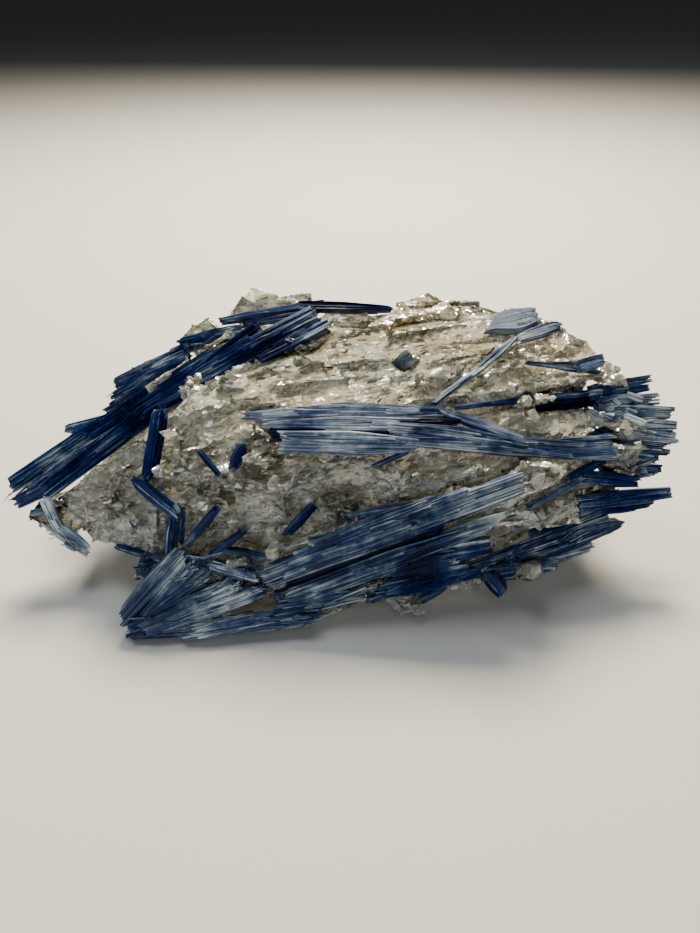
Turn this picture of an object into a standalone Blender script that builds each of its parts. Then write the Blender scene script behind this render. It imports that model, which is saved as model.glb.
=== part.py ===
"""Kyanite blades grown through a block of quartz: a hand specimen lying on its flat base.

The quartz is one solid, the union of a rounded core and of the blocks, slabs and lumps that
broke free around it. The kyanite is a set of flat laths. Laths that grew into each other are
one solid; every other lath sits in a pocket of its own in the quartz. Tables are in
millimetres: X runs along the specimen, Y away from its front, Z up from the surface it rests on.
"""

import math
import random

import bmesh
import bpy
from mathutils import Matrix, Vector

MM = 0.001

# Driving dimensions, in millimetres.
POCKET_GAP = 0.3  # clearance between a lath and whatever it is set in
FLOOR_DEPTH = 30.0  # how far the cutter that trims the flat base reaches down
FLOOR_HALF = 200.0
CENTRE_X = 2.7  # moves the tables' frame so that the middle of the base is the origin
CENTRE_Y = -1.1
SKEW = 0.45  # how far an end is cut on the slant, as a share of the lath's width
BELLY = (0.35, 0.65)  # where along a lath it is widest
LUMP_POINTS = 12  # corners of one broken quartz lump
SEED = 4

# The rounded core: rings of (x, y) at rising heights.
CORE = {
    0: [(-52, -38), (-10, -42), (30, -39), (47, -20), (49, 14), (20, 33), (-30, 33), (-55, 8)],
    14: [(-61, -34), (-20, -40), (30, -37), (62, -27), (78, -4), (70, 28), (20, 43), (-40, 40), (-72, 14)],
    34: [(-80, -12), (-58, -25), (-10, -31), (50, -28), (82, -16), (92, 0), (86, 18), (50, 42), (0, 48),
         (-50, 44), (-77, 22)],
    54: [(-40, -8), (-20, -16), (20, -18), (60, -12), (82, 4), (80, 20), (60, 38), (0, 44), (-45, 40), (-52, 24)],
    62: [(-18, 14), (0, 8), (50, 10), (66, 24), (50, 40), (0, 43), (-34, 43), (-36, 34)],
}

# Blocks whose outline matters: each is the hull of its own corners.
BLOCKS = {
    "left block": [(-91, -22.5, 29), (-82, -17.5, 36), (-70, -18, 43), (-60, -18, 49), (-86.5, -25.5, 17),
                   (-79, -28.5, 13), (-70, -31, 14), (-53, -37, 18.5), (-52, -28, 38), (-82, 0, 22), (-60, 4, 36)],
    "left tip": [(-100, -25, 23.5), (-100, -26, 21.5), (-91, -28, 16.5), (-92, -24, 25), (-84, -26, 14),
                 (-84, -12, 24), (-96, -15, 26)],
    "front shoulder": [(-46, -3, 59), (-53, -10, 52), (-26, -15, 56), (-31, -29, 42), (-52, -27, 38), (-17, -23, 50),
                       (-44, -16, 54), (-30, 0, 40)],
    "middle face": [(-33, -28, 43), (-14, -30, 41), (-12, -37, 26), (-32, -38, 23), (-24, -34, 38), (-20, -20, 30)],
    "left of the top": [(-46, -3, 57), (-25, -16, 56), (6, -19, 55), (-22, 7, 61), (-5, 26, 65), (-4, 41, 67),
                        (16, 38, 66), (30, 0, 60), (-20, 10, 50)],
    "right of the top": [(-4, -17, 56), (31, -14, 57), (58, -7, 57), (86, 4, 57), (91, 9, 59), (83, 23, 63),
                         (72, 36, 66), (58, 41, 67), (34, 47, 68), (8, 36, 66), (40, 10, 48), (84, 10, 50)],
    "cream block": [(37, -14, 55), (57, -11, 53), (88, 2, 49), (93, 0, 47.5), (86, -8, 43.5), (75, -17, 43),
                    (55, -21, 48), (60, 4, 44)],
    "cream wedge": [(87, -8, 47), (93, -10, 44), (88, -10, 43), (92, -3, 47), (84, 2, 44), (94, -2, 41)],
    "right block": [(84, -15, 45), (98, -12, 42), (99, -13, 36), (95, -18, 31), (82, -18, 38), (86, 0, 36),
                    (94, -2, 34)],
    "round-ended ledge": [(54, -29, 48.5), (62, -29, 48), (70, -28, 44.5), (71, -28.5, 42), (66, -31, 39),
                          (53, -34, 40), (40, -30, 34), (58, -20, 42)],
    "long ledge": [(28, -39, 28), (31, -35, 33), (70, -29, 42), (66, -31, 38), (50, -35.5, 33), (40, -24, 28)],
    "tan wedge": [(-23, -40, 22.5), (-18, -43, 20), (-2, -37, 29), (5, -35, 32), (-3, -32, 22), (-10, -42, 21)],
}

# Broken lumps: centre, size along, across and up, turn in plan, rise along its length.
LUMPS = [
    # the ridge at the back of the top
    ((-35, 48, 64), (17, 12, 17), 0, 0),
    ((-20, 48, 63), (24, 12, 16), 5, -3),
    ((-50, 40, 56), (24, 14, 13), 8, 16),
    ((30, 44, 65), (22, 14, 9), 12, 2),
    ((44, 42, 65.5), (20, 14, 7), -6, -2),
    ((58, 37, 63.5), (20, 16, 8), 0, -4),
    ((74, 30, 61), (18, 14, 11), -35, -6),
    ((83, 17, 58), (16, 16, 11), -50, -4),
    ((88, 6, 55.5), (12, 14, 10), 10, 0),
    # ledges that step down across the top
    ((-8, 24, 62.5), (46, 9, 7), 17, 1),
    ((30, 29, 63), (44, 9, 7), 18, 0),
    ((8, 10, 60.5), (60, 8, 6), 17, 1),
    ((56, 15, 61), (50, 7, 7), 17, 1),
    ((-8, -2, 58.5), (44, 8, 6), 14, 1),
    ((44, 2, 59), (52, 7, 6), 15, 1),
    ((70, 6, 58), (34, 9, 7), 17, 2),
    # lumps along the front edge of the top
    ((-44, 0, 58), (12, 10, 9), 20, 0),
    ((-48, -3, 55), (7, 7, 7), 0, 0),
    ((-33, -2, 59), (14, 9, 6), 15, 0),
    ((-20, -10, 56.5), (16, 10, 6), 5, 0),
    # the front face, from the left
    ((-64, -27, 26), (20, 12, 18), -20, -10),
    ((-67, -23, 37), (14, 9, 12), -20, 30),
    ((-44, -24, 42), (14, 12, 16), -20, 0),
    ((-40, -32, 30), (16, 10, 14), -10, 15),
    ((-22, -25, 46), (16, 10, 9), 0, 0),
    ((-6, -28, 42), (20, 10, 12), 8, 10),
    ((12, -28, 43), (20, 9, 10), -4, -8),
    ((0, -32, 34), (18, 9, 8), 5, 0),
    ((34, -28, 43), (26, 12, 12), 2, 0),
    ((18, -30, 38), (16, 9, 9), 0, 20),
    ((54, -33, 26), (30, 11, 14), 6, 8),
    ((68, -28, 26), (20, 11, 14), 20, 10),
    ((-50, -36, 17), (22, 12, 13), -10, 0),
    ((-28, -41, 15), (20, 10, 14), 0, 0),
    # the foot and the lower edge of the front
    ((-67, -38, 15), (9, 8, 7), 0, 0),
    ((-65, -41, 11), (6, 6, 7), 0, 0),
    ((-29, -50, 6), (18, 8, 7), 10, 5),
    ((-4, -46, 6), (22, 9, 8), 8, 6),
    ((9, -43, 9), (16, 9, 10), 10, 12),
    ((20, -43, 4.5), (16, 11, 9), 0, 0),
    ((38, -38, 8), (20, 10, 10), 8, 8),
    ((60, -34, 13), (11, 9, 10), 0, 20),
    ((58, -32, 9), (24, 10, 6), 8, 8),
    # the right end
    ((92, 0, 42), (14, 14, 14), 10, 0),
    ((82, -18, 30), (18, 10, 12), 0, 10),
    # the back
    ((-66, 32, 40), (24, 16, 22), 35, 10),
    ((-38, 44, 42), (32, 14, 26), 8, 5),
    ((0, 47, 44), (36, 12, 26), 0, 0),
    ((36, 46, 42), (32, 14, 28), -8, 0),
    ((62, 36, 38), (26, 16, 26), -28, 0),
    ((-20, 40, 16), (36, 14, 20), 5, 0),
    ((22, 40, 18), (34, 12, 22), -4, 0),
    ((-56, 24, 18), (22, 20, 20), 40, 0),
    ((58, 24, 16), (26, 20, 20), -30, 0),
]

# Laths of kyanite, by the solid they grew into. Each lath has the middle of its two ends, its
# width and thickness, its roll and the widths of its two ends as shares of its own. Roll is how
# far its broad face leans from facing up, at 0, to facing the front, at 90.
BLADES = {
    "left_long_blades": [
        ((-104, -19, 31), (-64, 3, 49.5), 6, 4, 52, 0.7, 0.8),
        ((-92, -23, 31), (-26, 23, 66), 6.5, 5, 52, 0.7, 0.9),
        ((-60, -3, 49.5), (-23, 18, 63), 8, 5, 48, 0.4, 0.9),
        ((-102, -22.5, 26.5), (-80, -16, 36.5), 5, 4, 55, 0.7, 0.6),
        ((-99, -21, 29), (-70, -6, 44), 5, 4, 55, 0.7, 0.5),
        ((-80, -8, 43), (-42, 15, 60.5), 4.5, 4, 48, 0.5, 0.7),
        ((-27, 15, 61), (-6, 31, 65.5), 9, 7, 35, 0.9, 0.9),
    ],
    "left_splinter_bundle": [
        ((-80, 23, 44.5), (-53, 28, 55.5), 5, 4, 48, 0.6, 0.9),
        ((-80, 18, 41.5), (-53, 23, 53.5), 5, 4, 48, 0.6, 0.9),
        ((-81, 12, 39.5), (-54, 18, 52), 5, 4, 48, 0.6, 0.9),
        ((-56, 32, 55.5), (-34, 27, 63), 5, 5, 45, 0.8, 0.7),
    ],
    "left_twin_stub": [
        ((-97, 14, 31), (-76, 11, 38), 3.5, 3.5, 40, 0.8, 1.0),
        ((-95, 11, 30), (-76, 8, 37), 3.5, 3.5, 40, 0.8, 1.0),
    ],
    "silver_edge_blade": [
        ((-91.8, -25, 30.5), (-88, -27.5, 18.5), 3.6, 3, 30, 0.8, 0.9),
        ((-89.5, -27, 21), (-80, -30, 12), 5, 3, 30, 0.7, 0.5),
    ],
    "ridge_blade": [
        ((-42, 35, 63), (2, 42, 66.8), 3.2, 3, 40, 0.6, 0.9),
        ((-10, 41.5, 66.6), (19, 39.5, 65.6), 3.2, 3, 40, 0.9, 0.4),
        ((-34, 34, 62.5), (-8, 38.5, 65.5), 3.5, 3, 45, 0.4, 0.6),
    ],
    "upright_blade": [
        ((-55, -10, 53), (-57, -27, 39), 4.3, 3.5, 60, 0.9, 0.8),
        ((-61, -28, 39.5), (-47, -35, 31), 4, 3.5, 60, 0.4, 0.6),
        ((-48, -33, 33), (-50, -39, 20), 6, 2.5, 65, 0.5, 0.9),
    ],
    "band_blades": [
        ((-28, -17, 56), (32, -15.5, 56.5), 5, 3, 45, 0.2, 0.4),
        ((-20, -19.5, 54), (22, -19, 54), 4, 3, 55, 0.3, 0.6),
        ((-17, -24, 51), (24, -25.5, 50.5), 7, 4, 62, 0.8, 0.5),
        ((16, -21, 53.5), (58, -22, 47.5), 7, 4, 55, 0.5, 0.3),
        ((20, -24.5, 51.5), (86, -17.5, 42.5), 6, 4, 55, 0.4, 0.9),
        ((66, -19, 44.5), (87, -16, 44), 7, 5, 50, 0.8, 1.0),
        ((31, -15.5, 56.5), (56, -21.5, 49.8), 4.5, 3, 55, 0.3, 0.3),
    ],
    "right_finger_blade": [
        ((36, -13, 56), (88, 3, 53), 1.8, 2, 40, 0.4, 1.0),
        ((82, 2, 54), (103, 7.5, 55), 3.2, 3, 50, 0.9, 0.6),
        ((82, 1, 52), (102.5, 6, 52.6), 3.2, 3, 50, 0.9, 0.6),
    ],
    "thin_diagonal_blade": [
        ((29, -14, 58), (47, 4, 61.5), 2.2, 1.6, 15, 0.5, 0.9),
        ((45, 2, 61.2), (60, 20, 64), 2.4, 1.6, 15, 0.9, 0.3),
    ],
    "right_end_blades": [
        ((84, 0, 50), (105, 2, 50.5), 5, 3, 60, 0.9, 0.5),
        ((84, -1, 48), (110, -0.5, 46.5), 5, 3.5, 60, 0.9, 0.7),
        ((84, -3, 45), (110, -3, 43), 5, 3.5, 60, 0.9, 0.6),
        ((84, -5, 42), (110, -6, 40), 5, 3.5, 60, 0.9, 0.6),
        ((84, -6, 39), (108, -8, 37), 5, 3.5, 60, 0.9, 0.6),
        ((84, -8, 36), (105, -8.5, 34), 4.5, 3, 60, 0.9, 0.6),
    ],
    "right_wedge_blades": [
        ((76, -22.5, 37), (94, -21.5, 34), 5, 3.5, 55, 0.6, 0.4),
        ((72, -22.5, 36), (83, -18.5, 40.5), 3, 2.5, 55, 0.6, 0.5),
    ],
    "right_under_blade": [
        ((86, -12, 31), (106, -10.5, 31), 5, 3, 55, 0.9, 0.5),
    ],
    "right_lower_blades": [
        ((76, -23, 27), (105.5, -21.5, 30), 5, 3, 60, 0.8, 0.4),
        ((78, -23, 24.5), (101, -22.5, 27), 5, 3, 60, 0.8, 0.5),
        ((72, -25, 22), (90, -22, 29.5), 4.5, 3, 60, 0.5, 0.7),
        ((60, -31, 20.5), (76, -24, 23.5), 3, 2.5, 60, 0.5, 0.7),
    ],
    "bottom_right_fan": [
        ((36, -41, 14), (86, -25, 23), 3, 2.5, 60, 0.4, 0.4),
        ((56, -34, 14), (91, -24.5, 20.5), 7, 3, 62, 0.6, 0.3),
        ((54, -35, 11.5), (82, -27, 13), 7, 3, 62, 0.7, 0.5),
        ((46, -37, 9), (71, -32, 9.5), 6, 3, 60, 0.7, 0.5),
    ],
    "front_long_blades": [
        ((-21, -45.5, 16.5), (54, -35, 44), 7.5, 4, 62, 0.8, 0.7),
        ((-12, -42, 23), (38, -36, 42), 5, 4, 60, 0.4, 0.3),
        ((3, -36, 31), (24, -36, 36.5), 4, 3, 60, 0.6, 0.4),
    ],
    "front_second_blade": [
        ((-18, -48, 8.5), (48, -38, 32), 7, 4, 62, 0.8, 0.25),
        ((27, -38.5, 24.5), (50, -37.5, 34), 3.5, 3, 60, 0.5, 0.3),
    ],
    "lower_front_blades": [
        ((16, -41, 15), (36, -40.5, 20.5), 7, 4, 62, 0.5, 0.6),
        ((32, -39.5, 20.5), (46, -38.5, 23), 6, 4, 60, 0.6, 0.7),
        ((12, -45, 9), (44, -40, 14), 5, 3.5, 60, 0.5, 0.6),
        ((10, -46, 7), (40, -40, 17), 3, 2.5, 60, 0.4, 0.4),
        ((14, -44, 12), (40, -41, 16.5), 3.5, 3, 60, 0.5, 0.5),
    ],
    "foot_blades": [
        ((-63, -52, 4.5), (-45, -43, 22), 10, 6, 60, 0.8, 0.8),
        ((-58, -53, 6), (-39, -44, 17.5), 4, 4, 60, 0.6, 0.7),
        ((-61, -55, 4), (-30, -46, 14.5), 6, 4, 60, 0.5, 0.7),
        ((-57, -55.5, 3.5), (-22, -47, 12.5), 5, 4, 60, 0.5, 0.6),
        ((-62, -55, 2.5), (-8, -52, 5), 5, 4, 55, 0.6, 0.5),
        ((-45, -56, 3), (-12, -51, 7), 5, 4, 55, 0.5, 0.5),
        ((-18, -50, 8), (6, -45, 8.5), 6, 4, 58, 0.5, 0.5),
    ],
    "foot_lens_blade": [
        ((-38, -43.5, 19.5), (-24, -46, 16.5), 4, 3, 60, 0.4, 0.3),
    ],
    "step_blade": [
        ((-56, -38, 19.5), (-60.5, -42, 13), 5, 4, 60, 0.8, 0.8),
    ],
    "bottom_stub": [
        ((47, -36, 10), (52.5, -40, 4.5), 5.5, 5, 60, 0.8, 0.7),
    ],
    "pale_top_blade": [
        ((52, 27, 65.2), (69, 33, 66.6), 12, 3, 10, 0.4, 0.7),
    ],
    "violet_top_blade": [
        ((61, 20, 63.5), (76, 27, 65), 4, 3, 40, 0.6, 0.8),
    ],
    "violet_side_blade": [
        ((77, 4, 61), (86, 8, 61.5), 4, 3, 40, 0.9, 0.9),
    ],
    "grey_nugget": [
        ((20, 6, 60.5), (24, 9, 62.5), 5.5, 4, 40, 0.8, 0.8),
    ],
    "front_sliver_left": [
        ((-28, -23, 49), (-31, -27, 43.5), 3.5, 3, 60, 0.6, 0.5),
    ],
    "front_sliver_middle": [
        ((-7, -33, 34), (-15, -37.5, 26.5), 3, 3, 60, 0.7, 0.6),
    ],
    "front_sliver_low": [
        ((-36, -33, 33), (-46, -38, 22), 2.8, 3, 60, 0.6, 0.6),
    ],
    "front_sliver_foot": [
        ((-28, -38, 28), (-38, -41, 21), 2.5, 3, 60, 0.6, 0.6),
    ],
    "back_long_blades": [
        ((-66, 38, 30), (16, 53, 44), 8, 5, -70, 0.6, 0.7),
        ((-50, 44, 24), (30, 51, 30), 7, 5, -70, 0.5, 0.6),
        ((-30, 49, 34), (22, 53, 38), 6, 5, -70, 0.5, 0.6),
    ],
    "back_cross_blade": [
        ((28, 52, 56), (56, 42, 22), 7, 4, -70, 0.7, 0.6),
    ],
    "back_left_blade": [
        ((-78, 18, 16), (-40, 42, 14), 7, 4, -60, 0.7, 0.6),
    ],
    "back_right_blades": [
        ((40, 46, 10), (86, 22, 36), 7, 4, -65, 0.6, 0.7),
        ((50, 40, 12), (90, 16, 32), 6, 4, -65, 0.6, 0.6),
    ],
}

# Open slots: a void with the form of a lath, open to the front.
SLOTS = [
    ((57, -8, 52.5), (91, 4, 51), 3.6, 12, 60, 0.9, 0.6),
]

# Colours in linear light.
QUARTZ_COLOUR = (0.48, 0.44, 0.36)
KYANITE_COLOUR = (0.055, 0.105, 0.25)
TONES = {
    "pale_top_blade": (0.42, 0.50, 0.56),
    "silver_edge_blade": (0.45, 0.52, 0.62),
    "grey_nugget": (0.13, 0.17, 0.20),
    "violet_top_blade": (0.11, 0.12, 0.30),
    "violet_side_blade": (0.09, 0.10, 0.27),
    "front_long_blades": (0.07, 0.13, 0.26),
    "foot_blades": (0.07, 0.12, 0.24),
    "thin_diagonal_blade": (0.14, 0.17, 0.27),
}


def clear_scene():
    for obj in list(bpy.data.objects):
        bpy.data.objects.remove(obj, do_unlink=True)


def stone_material(name, colour, roughness):
    material = bpy.data.materials.new(name)
    material.use_nodes = True
    shader = material.node_tree.nodes["Principled BSDF"]
    shader.inputs["Base Color"].default_value = (*colour, 1.0)
    shader.inputs["Roughness"].default_value = roughness
    shader.inputs["Metallic"].default_value = 0.0
    return material


def placed(point):
    """A table's point, in metres in the part's own frame."""
    x, y, z = point
    return Vector(((x - CENTRE_X) * MM, (y - CENTRE_Y) * MM, z * MM))


def hull_object(name, points):
    """The convex hull of some points, as an object."""
    form = bmesh.new()
    for point in points:
        form.verts.new(point)
    made = bmesh.ops.convex_hull(form, input=form.verts)
    inside = {item for item in made["geom_interior"] + made["geom_unused"] if isinstance(item, bmesh.types.BMVert)}
    bmesh.ops.delete(form, geom=list(inside), context="VERTS")
    bmesh.ops.recalc_face_normals(form, faces=form.faces)
    return mesh_object(name, form)


def mesh_object(name, form):
    mesh = bpy.data.meshes.new(name)
    form.to_mesh(mesh)
    form.free()
    obj = bpy.data.objects.new(name, mesh)
    bpy.context.scene.collection.objects.link(obj)
    return obj


def lump_object(name, centre, size, turn, rise, draw):
    """A broken lump: the hull of points spread over a rounded box, turned in plan and tipped."""
    turned = Matrix.Rotation(math.radians(turn), 3, "Z") @ Matrix.Rotation(math.radians(-rise), 3, "Y")
    corners = []
    for _ in range(LUMP_POINTS):
        way = Vector((draw.uniform(-1, 1), draw.uniform(-1, 1), draw.uniform(-1, 1)))
        boxed = way / max(abs(way.x), abs(way.y), abs(way.z))
        rounded = boxed.lerp(way.normalized(), 0.45)
        corners.append(placed(centre) + turned @ Vector((r * s * MM / 2 for r, s in zip(rounded, size))))
    return hull_object(name, corners)


def lath_axes(start, end, roll):
    """Unit vectors along a lath, across its width and out of its broad face."""
    along = (end - start).normalized()
    up = (Vector((0, 0, 1)) - along * along.z).normalized()
    side = up.cross(along)
    side = -side if side.y > 0 else side
    face = up * math.cos(math.radians(roll)) + side * math.sin(math.radians(roll))
    return along, face.cross(along).normalized(), face


def lath_object(name, row, number, grow=0.0):
    """A flat lath: six corners seen from its face, both ends cut on the slant, extruded to its thickness."""
    start, end, width, thick, roll, start_share, end_share = row
    draw = random.Random(SEED * 1000 + number)
    tail, head = placed(start), placed(end)
    along, across, face = lath_axes(tail, head, roll)
    length = (head - tail).length
    wide = (width + 2 * grow) * MM
    deep = (thick + 2 * grow) * MM
    ends = grow * MM
    belly = draw.uniform(*BELLY)
    slant = [draw.uniform(-SKEW, SKEW) * width * MM for _ in range(2)]
    outline = [
        (-ends + slant[0] / 2, -wide * start_share / 2),
        (length * belly, -wide / 2),
        (length + ends + slant[1] / 2, -wide * end_share / 2),
        (length + ends - slant[1] / 2, wide * end_share / 2),
        (length * belly, wide / 2),
        (-ends - slant[0] / 2, wide * start_share / 2),
    ]
    form = bmesh.new()
    rims = []
    for side in (-0.5, 0.5):
        rims.append([form.verts.new(tail + along * s + across * c + face * (side * deep)) for s, c in outline])
    form.faces.new(rims[0])
    form.faces.new(rims[1])
    for i in range(len(outline)):
        j = (i + 1) % len(outline)
        form.faces.new((rims[0][i], rims[0][j], rims[1][j], rims[1][i]))
    bmesh.ops.recalc_face_normals(form, faces=form.faces)
    return mesh_object(name, form)


def bake(obj):
    """Applies an object's modifiers and keeps the largest body that they leave."""
    graph = bpy.context.evaluated_depsgraph_get()
    form = bmesh.new()
    form.from_mesh(bpy.data.meshes.new_from_object(obj.evaluated_get(graph)))
    obj.modifiers.clear()
    bmesh.ops.triangulate(form, faces=form.faces)
    bodies = []
    unseen = set(form.faces)
    while unseen:
        front = [unseen.pop()]
        body = list(front)
        while front:
            near = {f for edge in front.pop().edges for f in edge.link_faces} & unseen
            unseen -= near
            front.extend(near)
            body.extend(near)
        bodies.append(body)
    bodies.sort(key=lambda body: -sum(face.calc_area() for face in body))
    waste = [face for body in bodies[1:] for face in body]
    bmesh.ops.delete(form, geom=waste, context="FACES")
    form.to_mesh(obj.data)
    form.free()


def combine(obj, others, operation):
    for other in others:
        modifier = obj.modifiers.new(other.name, "BOOLEAN")
        modifier.operation = operation
        modifier.solver = "EXACT"
        modifier.object = other
    bake(obj)
    return obj


def boxes_meet(first, second):
    """Whether the boxes around two meshes overlap."""
    spans = []
    for obj in (first, second):
        points = [vertex.co for vertex in obj.data.vertices]
        spans.append([(min(p[i] for p in points), max(p[i] for p in points)) for i in range(3)])
    return all(a[0] < b[1] and b[0] < a[1] for a, b in zip(*spans))


def discard(objects):
    for obj in objects:
        bpy.data.objects.remove(obj, do_unlink=True)


def floor_cutter():
    """The space under the surface that the specimen rests on."""
    form = bmesh.new()
    bmesh.ops.create_cube(form, size=1.0)
    bmesh.ops.scale(form, vec=(2 * FLOOR_HALF * MM, 2 * FLOOR_HALF * MM, FLOOR_DEPTH * MM), verts=form.verts)
    bmesh.ops.translate(form, vec=(0, 0, -FLOOR_DEPTH * MM / 2), verts=form.verts)
    return mesh_object("floor cutter", form)


def build_kyanite(floor):
    """One solid for each group of laths, and the grown laths that their pockets are cut with."""
    solids, pockets = [], []
    number = 0
    for name, rows in BLADES.items():
        laths, grown = [], []
        for row in rows:
            laths.append(lath_object(name if not laths else f"{name} lath", row, number))
            grown.append(lath_object(f"{name} pocket", row, number, POCKET_GAP))
            number += 1
        solid = combine(laths[0], laths[1:], "UNION") if len(laths) > 1 else laths[0]
        near = [pocket for pocket in pockets + [floor] if boxes_meet(solid, pocket)]
        combine(solid, near, "DIFFERENCE")
        discard(laths[1:])
        solid.data.materials.append(stone_material(name, TONES.get(name, KYANITE_COLOUR), 0.3))
        solids.append(solid)
        pockets += grown
    return solids, pockets


def build_quartz(pockets, floor):
    draw = random.Random(SEED)
    core = hull_object("quartz_matrix", [placed((x, y, z)) for z, ring in CORE.items() for x, y in ring])
    blocks = [hull_object(name, [placed(point) for point in points]) for name, points in BLOCKS.items()]
    lumps = [lump_object("lump", *row, draw) for row in LUMPS]
    slots = [lath_object("slot", row, number) for number, row in enumerate(SLOTS)]
    combine(core, blocks + lumps, "UNION")
    combine(core, slots + pockets + [floor], "DIFFERENCE")
    discard(blocks + lumps + slots)
    core.data.materials.append(stone_material("quartz_matrix", QUARTZ_COLOUR, 0.45))
    return core


def main():
    clear_scene()
    floor = floor_cutter()
    _, pockets = build_kyanite(floor)
    build_quartz(pockets, floor)
    discard(pockets + [floor])


main()
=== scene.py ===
"""Kyanite blades grown through milky quartz: the finish of every surface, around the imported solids.

Every blade is a bundle of slats, because kyanite splits along its length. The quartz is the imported
solid with lumps joined on, broken up by scoops and set with flat fracture faces. Tables are in
millimetres: X along the specimen, Y away from its front, Z up.
"""

import math

import bmesh
import bpy
import numpy as np
from mathutils.bvhtree import BVHTree
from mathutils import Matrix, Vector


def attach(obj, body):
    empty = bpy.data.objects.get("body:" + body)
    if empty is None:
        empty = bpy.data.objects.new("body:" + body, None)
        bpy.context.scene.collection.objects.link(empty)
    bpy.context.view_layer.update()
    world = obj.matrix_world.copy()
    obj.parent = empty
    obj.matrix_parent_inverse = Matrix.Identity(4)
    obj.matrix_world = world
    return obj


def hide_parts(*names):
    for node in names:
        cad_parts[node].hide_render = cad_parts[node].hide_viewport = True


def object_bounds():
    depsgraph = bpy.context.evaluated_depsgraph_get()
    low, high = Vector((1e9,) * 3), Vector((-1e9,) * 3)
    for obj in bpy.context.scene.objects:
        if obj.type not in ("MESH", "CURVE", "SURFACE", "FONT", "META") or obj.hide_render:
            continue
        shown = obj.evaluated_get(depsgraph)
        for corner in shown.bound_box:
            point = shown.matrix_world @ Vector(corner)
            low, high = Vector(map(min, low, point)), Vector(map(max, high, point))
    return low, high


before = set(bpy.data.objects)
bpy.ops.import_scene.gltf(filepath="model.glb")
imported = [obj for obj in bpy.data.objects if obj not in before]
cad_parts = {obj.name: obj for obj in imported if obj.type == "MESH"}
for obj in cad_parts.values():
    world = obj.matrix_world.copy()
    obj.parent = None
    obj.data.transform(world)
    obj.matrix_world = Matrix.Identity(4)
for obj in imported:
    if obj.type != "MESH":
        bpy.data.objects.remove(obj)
CAD_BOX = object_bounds()

MM = 0.001
SHIFT = np.array((-2.7, 1.1, 0.0))  # from the tables' frame to the solids'
SEED = 11

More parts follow.
